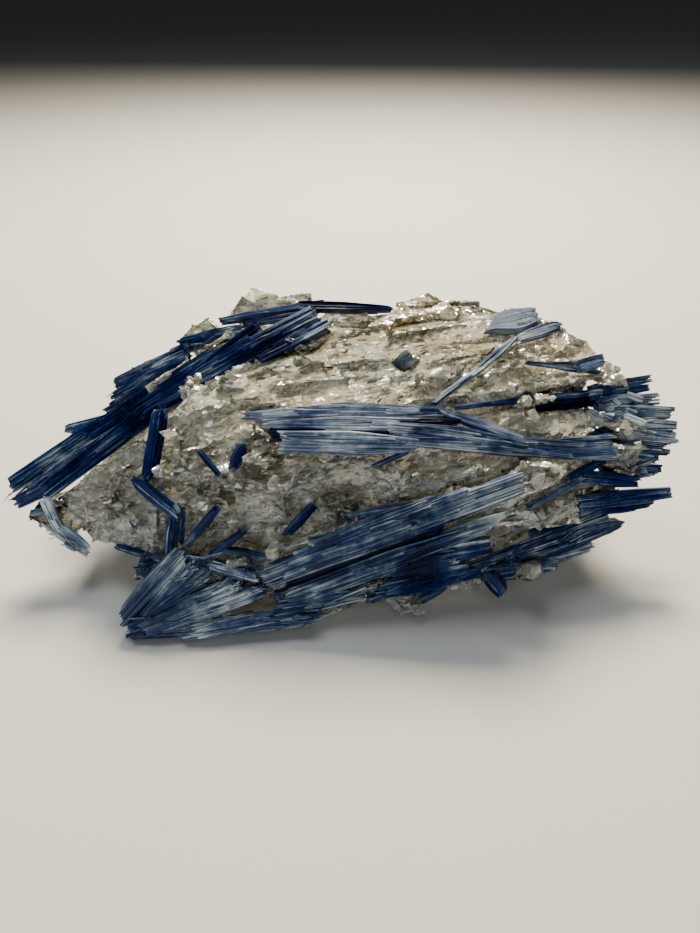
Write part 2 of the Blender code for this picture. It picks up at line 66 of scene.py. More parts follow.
# Each blade: the middle of its two ends, its width and thickness, its roll, from 0, broad face up,
# to 90, broad face to the front, or -90, to the back, and the widths of its ends as shares of its
# own.
BLADES = {
    "left_long_blades": [
        ((-104, -19, 31), (-64, 3, 49.5), 6, 4, 52, 0.7, 0.8),
        ((-92, -23, 31), (-26, 23, 66), 6.5, 5, 52, 0.7, 0.9),
        ((-60, -3, 49.5), (-23, 18, 63), 8, 5, 48, 0.4, 0.9),
        ((-102, -22.5, 26.5), (-80, -16, 36.5), 5, 4, 55, 0.7, 0.6),
        ((-99, -21, 29), (-70, -6, 44), 5, 4, 55, 0.7, 0.5),
        ((-80, -8, 43), (-42, 15, 60.5), 4.5, 4, 48, 0.5, 0.7),
        ((-27, 13.5, 61.5), (-6.5, 29.5, 66.2), 10.5, 6, 35, 0.9, 0.95),
    ],
    "left_splinter_bundle": [
        ((-80, 23, 44.5), (-53, 28, 55.5), 5, 4, 48, 0.6, 0.9),
        ((-80, 18, 41.5), (-53, 23, 53.5), 5, 4, 48, 0.6, 0.9),
        ((-81, 12, 39.5), (-54, 18, 52), 5, 4, 48, 0.6, 0.9),
        ((-56, 32, 55.5), (-34, 27, 63), 5, 5, 45, 0.8, 0.7),
    ],
    "left_twin_stub": [
        ((-97, 14, 31), (-76, 11, 38), 3.5, 3.5, 40, 0.8, 1.0),
        ((-95, 11, 30), (-76, 8, 37), 3.5, 3.5, 40, 0.8, 1.0),
    ],
    "silver_edge_blade": [
        ((-91.8, -25, 30.5), (-88, -27.5, 18.5), 3.6, 3, 30, 0.8, 0.9),
        ((-89.5, -27, 21), (-80, -30, 12), 5, 3, 30, 0.7, 0.5),
    ],
    "ridge_blade": [
        ((-42, 35, 63.2), (-5, 40.3, 67.2), 3.6, 3, 40, 0.6, 1.0),
        ((-15, 39.3, 67), (19, 38.6, 66.2), 3.4, 3, 40, 1.0, 0.4),
        ((-34, 34, 62.5), (-8, 38.5, 65.5), 3.5, 3, 45, 0.4, 0.6),
    ],
    "upright_blade": [
        ((-55, -10, 53), (-57, -27, 39), 4.3, 3.5, 60, 0.9, 0.8),
        ((-61, -28, 39.5), (-47, -35, 31), 4, 3.5, 60, 0.4, 0.6),
        ((-48, -33, 33), (-50, -39, 20), 6, 2.5, 65, 0.5, 0.9),
    ],
    "band_blades": [
        ((-28, -17.4, 55.6), (32, -15.9, 56.1), 7.4, 3, 50, 0.2, 0.4),
        ((-22, -19.5, 54), (26, -19, 54), 4.6, 3, 55, 0.3, 0.6),
        ((-17, -24, 51), (24, -25.5, 50.5), 7.4, 4, 62, 0.8, 0.5),
        ((16, -21, 53.5), (58, -22, 47.5), 7, 4, 55, 0.5, 0.3),
        ((20, -24.5, 51.5), (86, -17.5, 42.5), 6, 4, 55, 0.4, 0.9),
        ((66, -19, 44.5), (87, -16, 44), 7, 5, 50, 0.8, 1.0),
        ((31, -15.5, 56.5), (56, -21.5, 49.8), 4.5, 3, 55, 0.3, 0.3),
    ],
    "right_finger_blade": [
        ((36, -13, 56), (88, 3, 53), 1.8, 2, 40, 0.4, 1.0),
        ((82, 2, 54), (103, 7.5, 55), 3.2, 3, 50, 0.9, 0.6),
        ((82, 1, 52), (102.5, 6, 52.6), 3.2, 3, 50, 0.9, 0.6),
    ],
    "thin_diagonal_blade": [
        ((29, -14, 58), (47, 4, 61.5), 2.2, 1.6, 15, 0.5, 0.9),
        ((45, 2, 61.2), (60, 20, 64), 2.4, 1.6, 15, 0.9, 0.3),
    ],
    "right_end_blades": [
        ((84, 0, 50), (105, 2, 50.5), 5, 3, 60, 0.9, 0.5),
        ((84, -1, 48), (110, -0.5, 46.5), 5, 3.5, 60, 0.9, 0.7),
        ((84, -3, 45), (110, -3, 43), 5, 3.5, 60, 0.9, 0.6),
        ((84, -5, 42), (110, -6, 40), 5, 3.5, 60, 0.9, 0.6),
        ((84, -6, 39), (108, -8, 37), 5, 3.5, 60, 0.9, 0.6),
        ((84, -8, 36), (105, -8.5, 34), 4.5, 3, 60, 0.9, 0.6),
    ],
    "right_wedge_blades": [
        ((76, -22.5, 37), (94, -21.5, 34), 5, 3.5, 55, 0.6, 0.4),
        ((72, -22.5, 36), (83, -18.5, 40.5), 3, 2.5, 55, 0.6, 0.5),
    ],
    "right_under_blade": [((86, -12, 31), (106, -10.5, 31), 5, 3, 55, 0.9, 0.5)],
    "right_lower_blades": [
        ((76, -23, 27), (105.5, -21.5, 30), 5, 3, 60, 0.8, 0.4),
        ((78, -23, 24.5), (101, -22.5, 27), 5, 3, 60, 0.8, 0.5),
        ((72, -25, 22), (90, -22, 29.5), 4.5, 3, 60, 0.5, 0.7),
        ((60, -31, 20.5), (76, -24, 23.5), 3, 2.5, 60, 0.5, 0.7),
    ],
    "bottom_right_fan": [
        ((36, -41, 14), (86, -25, 23), 3, 2.5, 60, 0.4, 0.4),
        ((56, -34, 14), (91, -24.5, 20.5), 7, 3, 62, 0.6, 0.3),
        ((54, -35, 11.5), (82, -27, 13), 7, 3, 62, 0.7, 0.5),
        ((46, -37, 9), (71, -32, 9.5), 6, 3, 60, 0.7, 0.5),
    ],
    "front_long_blades": [
        ((-21, -45.5, 16.5), (54, -35, 44), 7.5, 4, 62, 0.8, 0.7),
        ((-12, -42, 23), (38, -36, 42), 5, 4, 60, 0.4, 0.3),
        ((3, -36, 31), (24, -36, 36.5), 4, 3, 60, 0.6, 0.4),
    ],
    "front_second_blade": [
        ((-18, -48, 8.5), (48, -38, 32), 7, 4, 62, 0.8, 0.25),
        ((27, -38.5, 24.5), (50, -37.5, 34), 3.5, 3, 60, 0.5, 0.3),
    ],
    "lower_front_blades": [
        ((16, -41, 15), (36, -40.5, 20.5), 7, 4, 62, 0.5, 0.6),
        ((32, -39.5, 20.5), (46, -38.5, 23), 6, 4, 60, 0.6, 0.7),
        ((12, -45, 9), (44, -40, 14), 5, 3.5, 60, 0.5, 0.6),
        ((10, -46, 7), (40, -40, 17), 3, 2.5, 60, 0.4, 0.4),
        ((14, -44, 12), (40, -41, 16.5), 3.5, 3, 60, 0.5, 0.5),
    ],
    "foot_blades": [
        ((-63, -52, 4.5), (-45, -43, 22), 10, 6, 60, 0.8, 0.8),
        ((-58, -53, 6), (-39, -44, 17.5), 4, 4, 60, 0.6, 0.7),
        ((-61, -55, 4), (-30, -46, 14.5), 6, 4, 60, 0.5, 0.7),
        ((-57, -55.5, 3.5), (-22, -47, 12.5), 5, 4, 60, 0.5, 0.6),
        ((-62, -55, 2.5), (-8, -52, 5), 5, 4, 55, 0.6, 0.5),
        ((-45, -56, 3), (-12, -51, 7), 5, 4, 55, 0.5, 0.5),
        ((-18, -50, 8), (6, -45, 8.5), 6, 4, 58, 0.5, 0.5),
    ],
    "foot_lens_blade": [((-38, -43.5, 19.5), (-24, -46, 16.5), 4, 3, 60, 0.4, 0.3)],
    "step_blade": [((-56, -38, 19.5), (-60.5, -42, 13), 5, 4, 60, 0.8, 0.8)],
    "bottom_stub": [((47, -36, 10), (52.5, -40, 4.5), 5.5, 5, 60, 0.8, 0.7)],
    "pale_top_blade": [((52, 27, 64.5), (69, 33, 65.9), 11, 3, 10, 0.3, 0.6)],
    "violet_top_blade": [((61, 20, 63.5), (76, 27, 65), 4, 3, 40, 0.6, 0.8)],
    "violet_side_blade": [((77, 4, 61), (86, 8, 61.5), 4, 3, 40, 0.9, 0.9)],
    "grey_nugget": [((20, 6, 60.5), (24, 9, 62.5), 5.5, 4, 40, 0.8, 0.8)],
    "front_sliver_left": [((-28, -23, 49), (-31, -27, 43.5), 3.5, 3, 60, 0.6, 0.5)],
    "front_sliver_middle": [((-7, -33, 34), (-15, -37.5, 26.5), 3, 3, 60, 0.7, 0.6)],
    "front_sliver_low": [((-36, -33, 33), (-46, -38, 22), 2.8, 3, 60, 0.6, 0.6)],
    "front_sliver_foot": [((-28, -38, 28), (-38, -41, 21), 2.5, 3, 60, 0.6, 0.6)],
    "back_long_blades": [
        ((-66, 38, 30), (16, 53, 44), 8, 5, -70, 0.6, 0.7),
        ((-50, 44, 24), (30, 51, 30), 7, 5, -70, 0.5, 0.6),
        ((-30, 49, 34), (22, 53, 38), 6, 5, -70, 0.5, 0.6),
    ],
    "back_cross_blade": [((28, 52, 56), (56, 42, 22), 7, 4, -70, 0.7, 0.6)],
    "back_left_blade": [((-78, 18, 16), (-40, 42, 14), 7, 4, -60, 0.7, 0.6)],
    "back_right_blades": [
        ((40, 46, 10), (86, 22, 36), 7, 4, -65, 0.6, 0.7),
        ((50, 40, 12), (90, 16, 32), 6, 4, -65, 0.6, 0.6),
    ],
}

# The record's slot of each blade piece.
SLOTS = dict.fromkeys(BLADES, "royal_kyanite") | {node: slot for slot, nodes in {
    "pale_kyanite": ("silver_edge_blade", "pale_top_blade"),
    "violet_kyanite": ("violet_top_blade", "violet_side_blade", "band_blades"),
    "smoky_kyanite": ("grey_nugget",),
    "slate_kyanite": ("front_long_blades", "front_second_blade", "foot_blades", "thin_diagonal_blade",
                      "left_splinter_bundle", "right_end_blades", "foot_lens_blade", "step_blade",
                      "back_long_blades", "back_left_blade", "bottom_right_fan"),
}.items() for node in nodes}

# How a blade piece splits. least is the fewest slats of a blade, pitch the width of one and relief
# how uneven their faces are, as a share of the thickness. stagger is how far the slats step back
# at either end, and taper how much of a blade's narrowing is smooth, not in steps. bow is how far
# the middle rises, and ridge the ridges on a slat's face, as a share of its half width. sheets and
# needles say how thickly those lie on it.
PLAIN = dict(least=2, pitch=2.4, relief=0.14, stagger=(1.2, 1.2), taper=0.6, bow=0.0, ridge=0.07,
             sheets=1.0, needles=0.3)
STYLES = {
    "left_long_blades": dict(pitch=5.0, stagger=(1.5, 0.8), relief=0.08, sheets=0.7, needles=0.2),
    "left_splinter_bundle": dict(pitch=1.3, relief=0.3, stagger=(3.5, 1.0), needles=1.5),
    "band_blades": dict(pitch=4.6, taper=0.9, relief=0.08, sheets=1.2, needles=0.3),
    "right_end_blades": dict(pitch=2.2, relief=0.5, stagger=(0.5, 8.0), needles=0.8),
    "right_finger_blade": dict(pitch=1.6, stagger=(0.5, 2.0)),
    "front_long_blades": dict(pitch=4.6, stagger=(0.8, 0.5), relief=0.11, sheets=1.2, needles=0.4),
    "front_second_blade": dict(pitch=4.4, taper=0.8, sheets=1.3, needles=0.4),
    "foot_blades": dict(pitch=4.0, taper=0.8, stagger=(0.6, 1.0), sheets=1.2, needles=0.4),
    "bottom_right_fan": dict(pitch=3.6, taper=0.8, sheets=1.2),
    "pale_top_blade": dict(least=1, pitch=14.0, relief=0.0, stagger=(0.6, 0.6), taper=0.95, ridge=0.02,
                           sheets=0.3, needles=0.1),
    "ridge_blade": dict(bow=0.3, taper=0.9, stagger=(0.4, 0.4), pitch=1.8, needles=0.2),
    "upright_blade": dict(pitch=2.2, relief=0.12, stagger=(0.6, 0.8), needles=0.3),
    "grey_nugget": dict(least=1, pitch=6.0, relief=0.05, stagger=(0.0, 0.0), ridge=0.03, sheets=0.0,
                        needles=0.0),
    "silver_edge_blade": dict(pitch=1.8, relief=0.2, ridge=0.06, sheets=0.5, needles=0.2),
}

# What single blades of a piece, by their place in it, have instead. drops sets a blade's slats one
# by one: shares of the thickness by which each lies lower.
ROW_STYLES = {
    ("left_long_blades", 1): dict(least=1, pitch=7.0, relief=0.05, ridge=0.04, needles=0.4),
    ("left_long_blades", 2): dict(drops=(0.0, 0.16), needles=0.3),
    ("left_long_blades", 6): dict(drops=(0.0, 0.30, 0.03), needles=0.1, sheets=0.3,
                                  stagger=(0.6, 0.3), ridge=0.04),
    ("foot_blades", 0): dict(drops=(0.05, 0.0, 0.12), sheets=0.9, needles=0.6),
    ("front_long_blades", 0): dict(drops=(0.1, 0.0, 0.06)),
}

# Small blades that lie on the quartz and in its cracks: about where their two ends are, their
# width and their thickness.
CRACK_BLADES = [
    ((-37.5, -26, 50), (-36, -29, 45), 1.8, 2.2), ((-65, -32, 25), (-61, -33, 25), 2.2, 1.6),
    ((-47.5, -34.5, 38.5), (-43.5, -37, 32), 1.4, 2), ((11, -30, 45), (23, -27, 49), 1.2, 2),
    ((-4, -49, 7.5), (9, -46.5, 10), 3.2, 2), ((26, -43, 2.5), (34, -41.5, 8), 4, 3),
    ((-70, -31, 16.5), (-56, -37, 17), 1.6, 2.4), ((-62, -36, 16), (-44, -41, 19), 1.8, 2.6),
    ((-46, -41, 21), (-30, -42, 19), 1.6, 2.4), ((-36, -42, 24), (-22, -42, 20), 1.8, 2.4),
    ((48, -29, 50), (72, -24, 44), 1.4, 2), ((52, -33, 28), (74, -26, 36), 1.6, 2),
    ((14, -41.5, 22), (40, -39, 29.5), 1.4, 2), ((44, -37, 17), (84, -26, 26), 1.4, 2),
    ((-98, -24, 25), (-90, -25, 26), 1.6, 2), ((60, 6, 62), (92, 9, 57), 1.0, 1.6),
    ((-12, -20, 55.2), (36, -19.6, 54.6), 1.4, 1.6), ((-4, -21.5, 53.4), (30, -21.6, 53.2), 1.2, 1.6),
    ((66, 10, 61), (84, 12, 59), 0.9, 1.6), ((30, 8, 61), (44, 14, 62), 0.7, 1.4),
]

# Dark blades that close the gaps between others, darkened as painted shade in those gaps: the two ends,
# width, thickness and roll.
PAINTED_SHADE_BLADES = [
    ((-16, -44.4, 13.6), (32, -37.8, 30.8), 5, 2.4, 62), ((64, -4.3, 51.5), (86, 2.5, 50), 4.5, 2, 60),
    ((-20, -20.6, 52.6), (36, -20.6, 52.8), 8, 2.4, 55), ((-50, 6, 54), (-22, 24, 62), 7, 4, 48),
]

# Brushes of loose splinters: the line they scatter about, the way they run, how far from the
# line, how many, their lengths, widths, how much their directions spread, and how frosted they are.
BRUSHES = {
    "right_end": ((86, -3, 50), (104, -4, 38), (1, -0.05, -0.05), 5.0, 120, (2, 7), (0.3, 2.6), 0.30, 0.16),
    "right_side": ((84, -8, 42), (99, -14, 28), (1, 0.1, -0.1), 4.5, 70, (2, 7), (0.4, 2.4), 0.35, 0.05),
    "foot_tangle": ((-46, -46, 16), (-16, -46, 11), (1, 0.2, 0.35), 3.6, 260, (2, 7), (0.2, 0.9), 0.35, 0.0),
    "foot_edge": ((-58, -54, 4), (-6, -51, 6), (1, 0.1, 0.08), 2.0, 160, (4, 12), (0.3, 1.2), 0.10, 0.0),
    "lower_fan": ((40, -40, 13), (84, -27, 19), (1, 0.3, 0.25), 3.6, 36, (4, 10), (0.3, 1.2), 0.16, 0.0),
    "lower_front": ((4, -44, 9), (34, -41, 12), (1, 0.2, 0.4), 2.4, 80, (4, 10), (0.3, 1.2), 0.14, 0.0),
    "left_end": ((-101, -20, 29), (-82, -13, 38), (1, 0.5, 0.42), 3.0, 50, (4, 12), (0.3, 1.2), 0.08, 0.0),
    "under_quartz": ((-60, -41, 18), (-24, -43, 19), (1, 0, -0.1), 2.6, 140, (2, 8), (0.3, 1.2), 0.30, -0.1),
    "left_splinters": ((-74, 16, 45), (-44, 26, 58), (1, 0.3, 0.4), 3.6, 60, (5, 14), (0.3, 1.2), 0.08, 0.0),
    "silver_foot": ((-93, -28, 20), (-83, -31.5, 15.5), (1, -0.3, -0.35), 1.6, 46,
                    (2, 6), (0.3, 1.6), 0.25, 0.35),
    "left_middle": ((-60, 0, 50), (-30, 20, 62), (1, 0.68, 0.42), 3.0, 24, (3, 10), (0.2, 0.8), 0.05, 0.0),
}

# Where blades are frosted pale, or with a share below nothing, deep and clear: centre, reach
# and share. Some pale patches are painted highlights, such as those on the band's left end and on the second
# front blade's short lath.
FROST_AND_HIGHLIGHTS = [
    ((-100, -20, 30), 12, 0.30), ((-84, -6, 40), 10, 0.12), ((-70, -8, 43), 14, -0.18),
    ((-50, 4, 54), 12, -0.12), ((-30, 18, 60), 13, -0.28), ((-31, 12, 56), 4, 0.25),
    ((-24, 30, 63), 4, 0.35), ((-12, 21, 65), 6, 0.22), ((2, -24, 51), 14, 0.34),
    ((48, -22, 48), 14, -0.08), ((77, -18, 44), 6, 0.1), ((0, -16, 56), 16, -0.08),
    ((45, -36.5, 40), 11, 0.14), ((12, -40, 29), 15, -0.2), ((-19, -45, 17), 6, 0.12),
    ((30, -37, 36), 6, 0.12), ((24, -41, 16), 8, -0.2), ((39, -39, 22), 5, 0.4),
    ((34, -38.5, 27), 5, 0.25), ((48, -38, 31), 6, 0.2), ((70, -30, 16), 7, -0.12),
    ((80, -24, 25), 6, 0.2), ((95, -22, 28), 12, 0.14), ((-30, -47, 11), 10, 0.16),
    ((-54, -47, 12), 10, -0.04), ((-56, -20, 46), 8, -0.15), ((98, -4, 43), 11, 0.22),
    ((-20, -50, 5), 9, 0.1),
]


# --- arrays into meshes ---------------------------------------------------------------------


def triangle_mesh(name, points, triangles):
    mesh = bpy.data.meshes.new(name)
    mesh.vertices.add(len(points))
    mesh.vertices.foreach_set("co", np.asarray(points, np.float32).ravel())
    mesh.loops.add(triangles.size)
    mesh.loops.foreach_set("vertex_index", triangles.astype(np.int32).ravel())
    mesh.polygons.add(len(triangles))
    mesh.polygons.foreach_set("loop_start", np.arange(0, triangles.size, 3, dtype=np.int32))
    mesh.polygons.foreach_set("use_smooth", np.ones(len(triangles), bool))
    mesh.update(calc_edges=True)
    return mesh


def new_piece(name, points, triangles, material, nodes, uv=None, values=None, crease=9.0):
    mesh = triangle_mesh(name, points * MM, triangles)
    if uv is not None:
        layer = mesh.uv_layers.new(name="along")
        layer.data.foreach_set("uv", np.asarray(uv, np.float32).ravel())
    for label, numbers in (values or {}).items():
        held = mesh.attributes.new(label, "FLOAT", "POINT")
        held.data.foreach_set("value", np.asarray(numbers, np.float32).ravel())
    mesh.validate()
    mesh.set_sharp_from_angle(angle=math.radians(crease))
    mesh.materials.append(material)
    piece = bpy.data.objects.new(name, mesh)
    bpy.context.scene.collection.objects.link(piece)
    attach(piece, "root")
    if nodes:
        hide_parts(*nodes)
    return piece


# --- places and directions ------------------------------------------------------------------


def placed(*points):
    """Points of the tables, as rows, in the solids' frame."""
    return np.array(points, float) + SHIFT


def in_box(points):
    """Points kept within the solids' box."""
    low, high = np.array(CAD_BOX) / MM
    return np.clip(points, low, high)


def unit(vector):
    """The vector over its length."""
    return vector / np.linalg.norm(vector)


def units(rows):
    """Each row over its length."""
    return rows / np.linalg.norm(rows, axis=1)[:, None]


def lath_axes(tail, head, roll):
    """Unit vectors along a lath, across its width and out of its broad face, as rows."""
    along = unit(head - tail)
    up = unit(np.array((0.0, 0.0, 1.0)) - along * along[2])
    side = np.cross(up, along)
    side = -side if side[1] > 0 else side
    face = up * math.cos(math.radians(roll)) + side * math.sin(math.radians(roll))
    return np.stack((along, unit(np.cross(face, along)), face))


def falling(points, table):
    """The sum, at each point, of bells: each a centre, how far it reaches and its height."""
    total = np.zeros(len(points))
    for centre, reach, strength in table:
        away = ((points - placed(centre)) ** 2).sum(1)
        total += strength * np.exp(-away / reach**2)
    return total


def patches(points, table):
    """The same sum, kept from -1 to 1."""
    return np.clip(falling(points, table), -1, 1)


# --- blades -----------------------------------------------------------------------------------


def bar_triangles(bars, stations, around):
    """Triangles of closed bars: each a grid of stations by profile points, wrapped round, with a fan
    from the middle of each end. Gives point numbers, and each corner's station and place round."""
    t, p = np.meshgrid(np.arange(stations - 1), np.arange(around), indexing="ij")
    t, p = t.ravel(), p.ravel()
    quads = [(t, p), (t, p + 1), (t + 1, p + 1), (t + 1, p)]
    corners = [quads[i] for i in (0, 1, 2, 0, 2, 3)]
    station = np.stack([c[0] for c in corners], 1).reshape(-1, 3)
    place = np.stack([c[1] for c in corners], 1).reshape(-1, 3)
    number = station * around + place % around
    q = np.arange(around)
    for end, middle, first, second in ((0, 0, q + 1, q), (stations - 1, 1, q, q + 1)):
        fan = np.stack([np.full(around, stations * around + middle), end * around + first % around,
                        end * around + second % around], 1)
        number = np.concatenate([number, fan])
        station = np.concatenate([station, np.full((around, 3), end)])
        place = np.concatenate([place, np.stack([q, first, second], 1)])
    size = stations * around + 2
    number = (np.arange(bars)[:, None, None] * size + number).reshape(-1, 3)
    return number, np.tile(station, (bars, 1)), np.tile(place, (bars, 1))


# The form of one bar, which is a slat, a sheet, a needle or a splinter, in millimetres.
CHAMFER = 0.08
WAVE = 0.05  # how far it wanders from straight
TICK = 10.0  # along it, in one unit of its map
THINNED, CUT, FRAYED = 0.6, 1.8, 1.3  # from an end, over which it is thinned, cut and frosted
LONG_CUT, LONG_FRAY = 14, 30  # lengths from which its ends are cut and frosted in full
STEP = 0.3  # over which a cleavage step drops
RIDGE_HEIGHTS = (0.012, 0.1)  # the least and the most
STEP_FALL = 3.0  # how far a step drops at most, in heights of its ridge
CROWDED = 0.45  # how far its stations crowd to its ends, from 0 to 1

# Points across a bar's face, and points round its profile besides.
SLAT_RIDGES, SPLINTER_RIDGES, NEEDLE_RIDGES = 9, 5, 3
BESIDES = 7


def slat_bars(stations, ridges, spec, draw):
    """Bars that run along a lath. spec holds one number for each bar: its first and last place
    along, its middle across, its half width, its low and high face, and how far it turns across
    for each millimetre along. For all bars together it says how high the ridges are, as a share
    of the half width, and how square the ends. A bar's profile is a chamfered box with ridges on
    its face; each ridge drops by a cleavage step somewhere along it. The bar wanders along two
    sine waves, and its ends are cut on the slant and thinned."""
    first, last, middle, half, low, high = (spec[k][:, None, None] for k in
                                            ("first", "last", "middle", "half", "low", "high"))
    bars = len(spec["first"])
    shape, ridge_shape = (bars, 1, 1), (bars, 1, ridges)
    around = ridges + BESIDES
    t = np.linspace(0, 1, stations)
    t = ((1 - CROWDED) * t + CROWDED * (0.5 - 0.5 * np.cos(np.pi * t)))[None, :, None]
    s = first + (last - first) * t
    span = last - first
    from_end = np.minimum(t, 1 - t) * span
    thinned = 1 - draw.uniform(0.05, 0.6, shape) * np.exp(-from_end / THINNED)
    # the profile, counter-clockwise seen from the head: right side, face, left side, underside
    chamfer = np.minimum(CHAMFER, 0.4 * half)
    spread = np.linspace(1, -1, ridges)[None, None] + draw.uniform(-0.1, 0.1, ridge_shape)
    spread[..., 0], spread[..., -1] = 1, -1
    across = np.concatenate([half, half, (half - chamfer) * spread, -half, -half,
                             chamfer - half, 0 * half, half - chamfer], 2)
    # each ridge's height, and its step: down by a random fall at a random place
    relief = np.clip(spec["ridge"] * half, *RIDGE_HEIGHTS) * np.clip((high - low) / 2, 0.1, 1)
    ridge = relief * draw.uniform(-1, 0.2, ridge_shape)
    where = first + span * draw.uniform(-0.2, 1.2, ridge_shape)
    side = draw.choice((-1.0, 1.0), ridge_shape)
    ridge = ridge - STEP_FALL * relief * draw.uniform(0, 1, ridge_shape) ** 2 / (
        1 + np.exp(np.clip(side * (s - where) / STEP, -40, 40)))
    up = np.zeros((bars, stations, around))
    up[:, :, 2:2 + ridges] = high + ridge
    up[:, :, [1, 2 + ridges]] = (high + ridge - chamfer)[:, :, [0, -1]]
    up[:, :, [0, 3 + ridges]] = low + chamfer
    up[:, :, -3:] = low
    across = np.broadcast_to(across, up.shape)
    centre = (high + low) / 2
    tilt = draw.uniform(-0.12, 0.12, shape)
    up = centre + (up - centre) * thinned + tilt * across * (up > centre)
    across = across * (spec["blunt"] + (1 - spec["blunt"]) * thinned)
    wander = [sum(WAVE / k * np.sin(s * draw.uniform(0.12, 0.3, shape) * k + draw.uniform(0, 6.3, shape))
                  for k in (1, 3)) for _ in range(2)]
    across = across + middle + wander[0] + spec["skew"][:, None, None] * (s - (first + last) / 2)
    up = up + wander[1]
    # the ends' cuts: a random slope across and up, and ragged from point to point
    near_tail, near_head = np.exp(-(s - first) / CUT), np.exp(-(last - s) / CUT)
    slants = draw.uniform(-0.8, 0.8, (bars, 1, 1, 4))
    ragged = draw.normal(0, 0.5, (bars, 2, around)) * np.clip(half, 0.1, 1.0)
    beside, above = across - middle, up - centre
    cut = ((slants[..., 0] * beside + slants[..., 1] * above + ragged[:, :1]) * near_tail
           + (slants[..., 2] * beside + slants[..., 3] * above + ragged[:, 1:]) * near_head)
    run = np.broadcast_to(s, up.shape) + cut * np.clip(span / LONG_CUT, 0.25, 1)
    grid = np.stack([run, across, up], 3)
    caps = grid[:, [0, -1]].mean(2)
    local = np.concatenate([grid.reshape(bars, -1, 3), caps], 1)
    triangles, station, place = bar_triangles(bars, stations, around)
    # the along map: millimetres along, and round the profile from a random start
    bar = np.repeat(np.arange(bars), len(triangles) // bars)[:, None]
    girth = np.concatenate([np.zeros((bars, 1)), np.cumsum(np.linalg.norm(
        np.diff(np.concatenate([grid[:, 0, :, 1:], grid[:, 0, :1, 1:]], 1), axis=1), axis=2), 1)], 1)
    uv = np.stack([s[bar, station, 0], girth[bar, place] + draw.uniform(0, 90, bars)[bar]], 2) / TICK
    # painted shade: each ridge of a slat's face is marked darker the lower it lies, as shade in the grooves
    painted_groove_shade = np.full(up.shape, 0.5)
    painted_groove_shade[:, :, 2:2 + ridges] = np.clip(-ridge / (2.5 * relief), 0, 1)
    painted_groove_shade = np.concatenate([painted_groove_shade.reshape(bars, -1), np.ones((bars, 2)) * 0.5], 1).ravel()
    fray = np.exp(-from_end / FRAYED) * draw.uniform(0.2, 1.0, shape) * np.clip(span / LONG_FRAY, 0.25, 1)
    fray = np.concatenate([np.repeat(fray, around, 2).reshape(bars, -1), fray[:, [0, -1], 0]], 1).ravel()
    tone = np.repeat(draw.uniform(0, 1, bars), stations * around + 2)
    return local, triangles, uv, tone, fray, painted_groove_shade


OUTLINE = 40  # steps along a blade in which its outline is followed
STATION_PITCH, STATIONS = 2.2, (8, 34)  # between a slat's stations, and their least and most
SLAT_SHARE = 0.495  # a slat's half width, as a share of its room
INSIDE = 0.96  # a slat goes on while this share of its way from the middle is in the outline
STAGGER_SHARE = 0.1  # of a blade's length, the most that its ends' stagger takes
SHORT = 12  # a blade shorter than this has no splinters past its ends
SPLINTERS = 0.8  # past each end, for each millimetre of width and each unit of needles

# What lies on a blade's faces: the area that one takes, its half length, its half width, its rise,
# how far it turns, its stations and its ridges.
SHEETS = (45, (3.0, 14.0), (0.3, 1.3), (0.05, 0.3), 0.01, 10, SLAT_RIDGES)
NEEDLES = (12, (1.0, 7.0), (0.05, 0.2), (0.02, 0.12), 0.04, 5, NEEDLE_RIDGES)


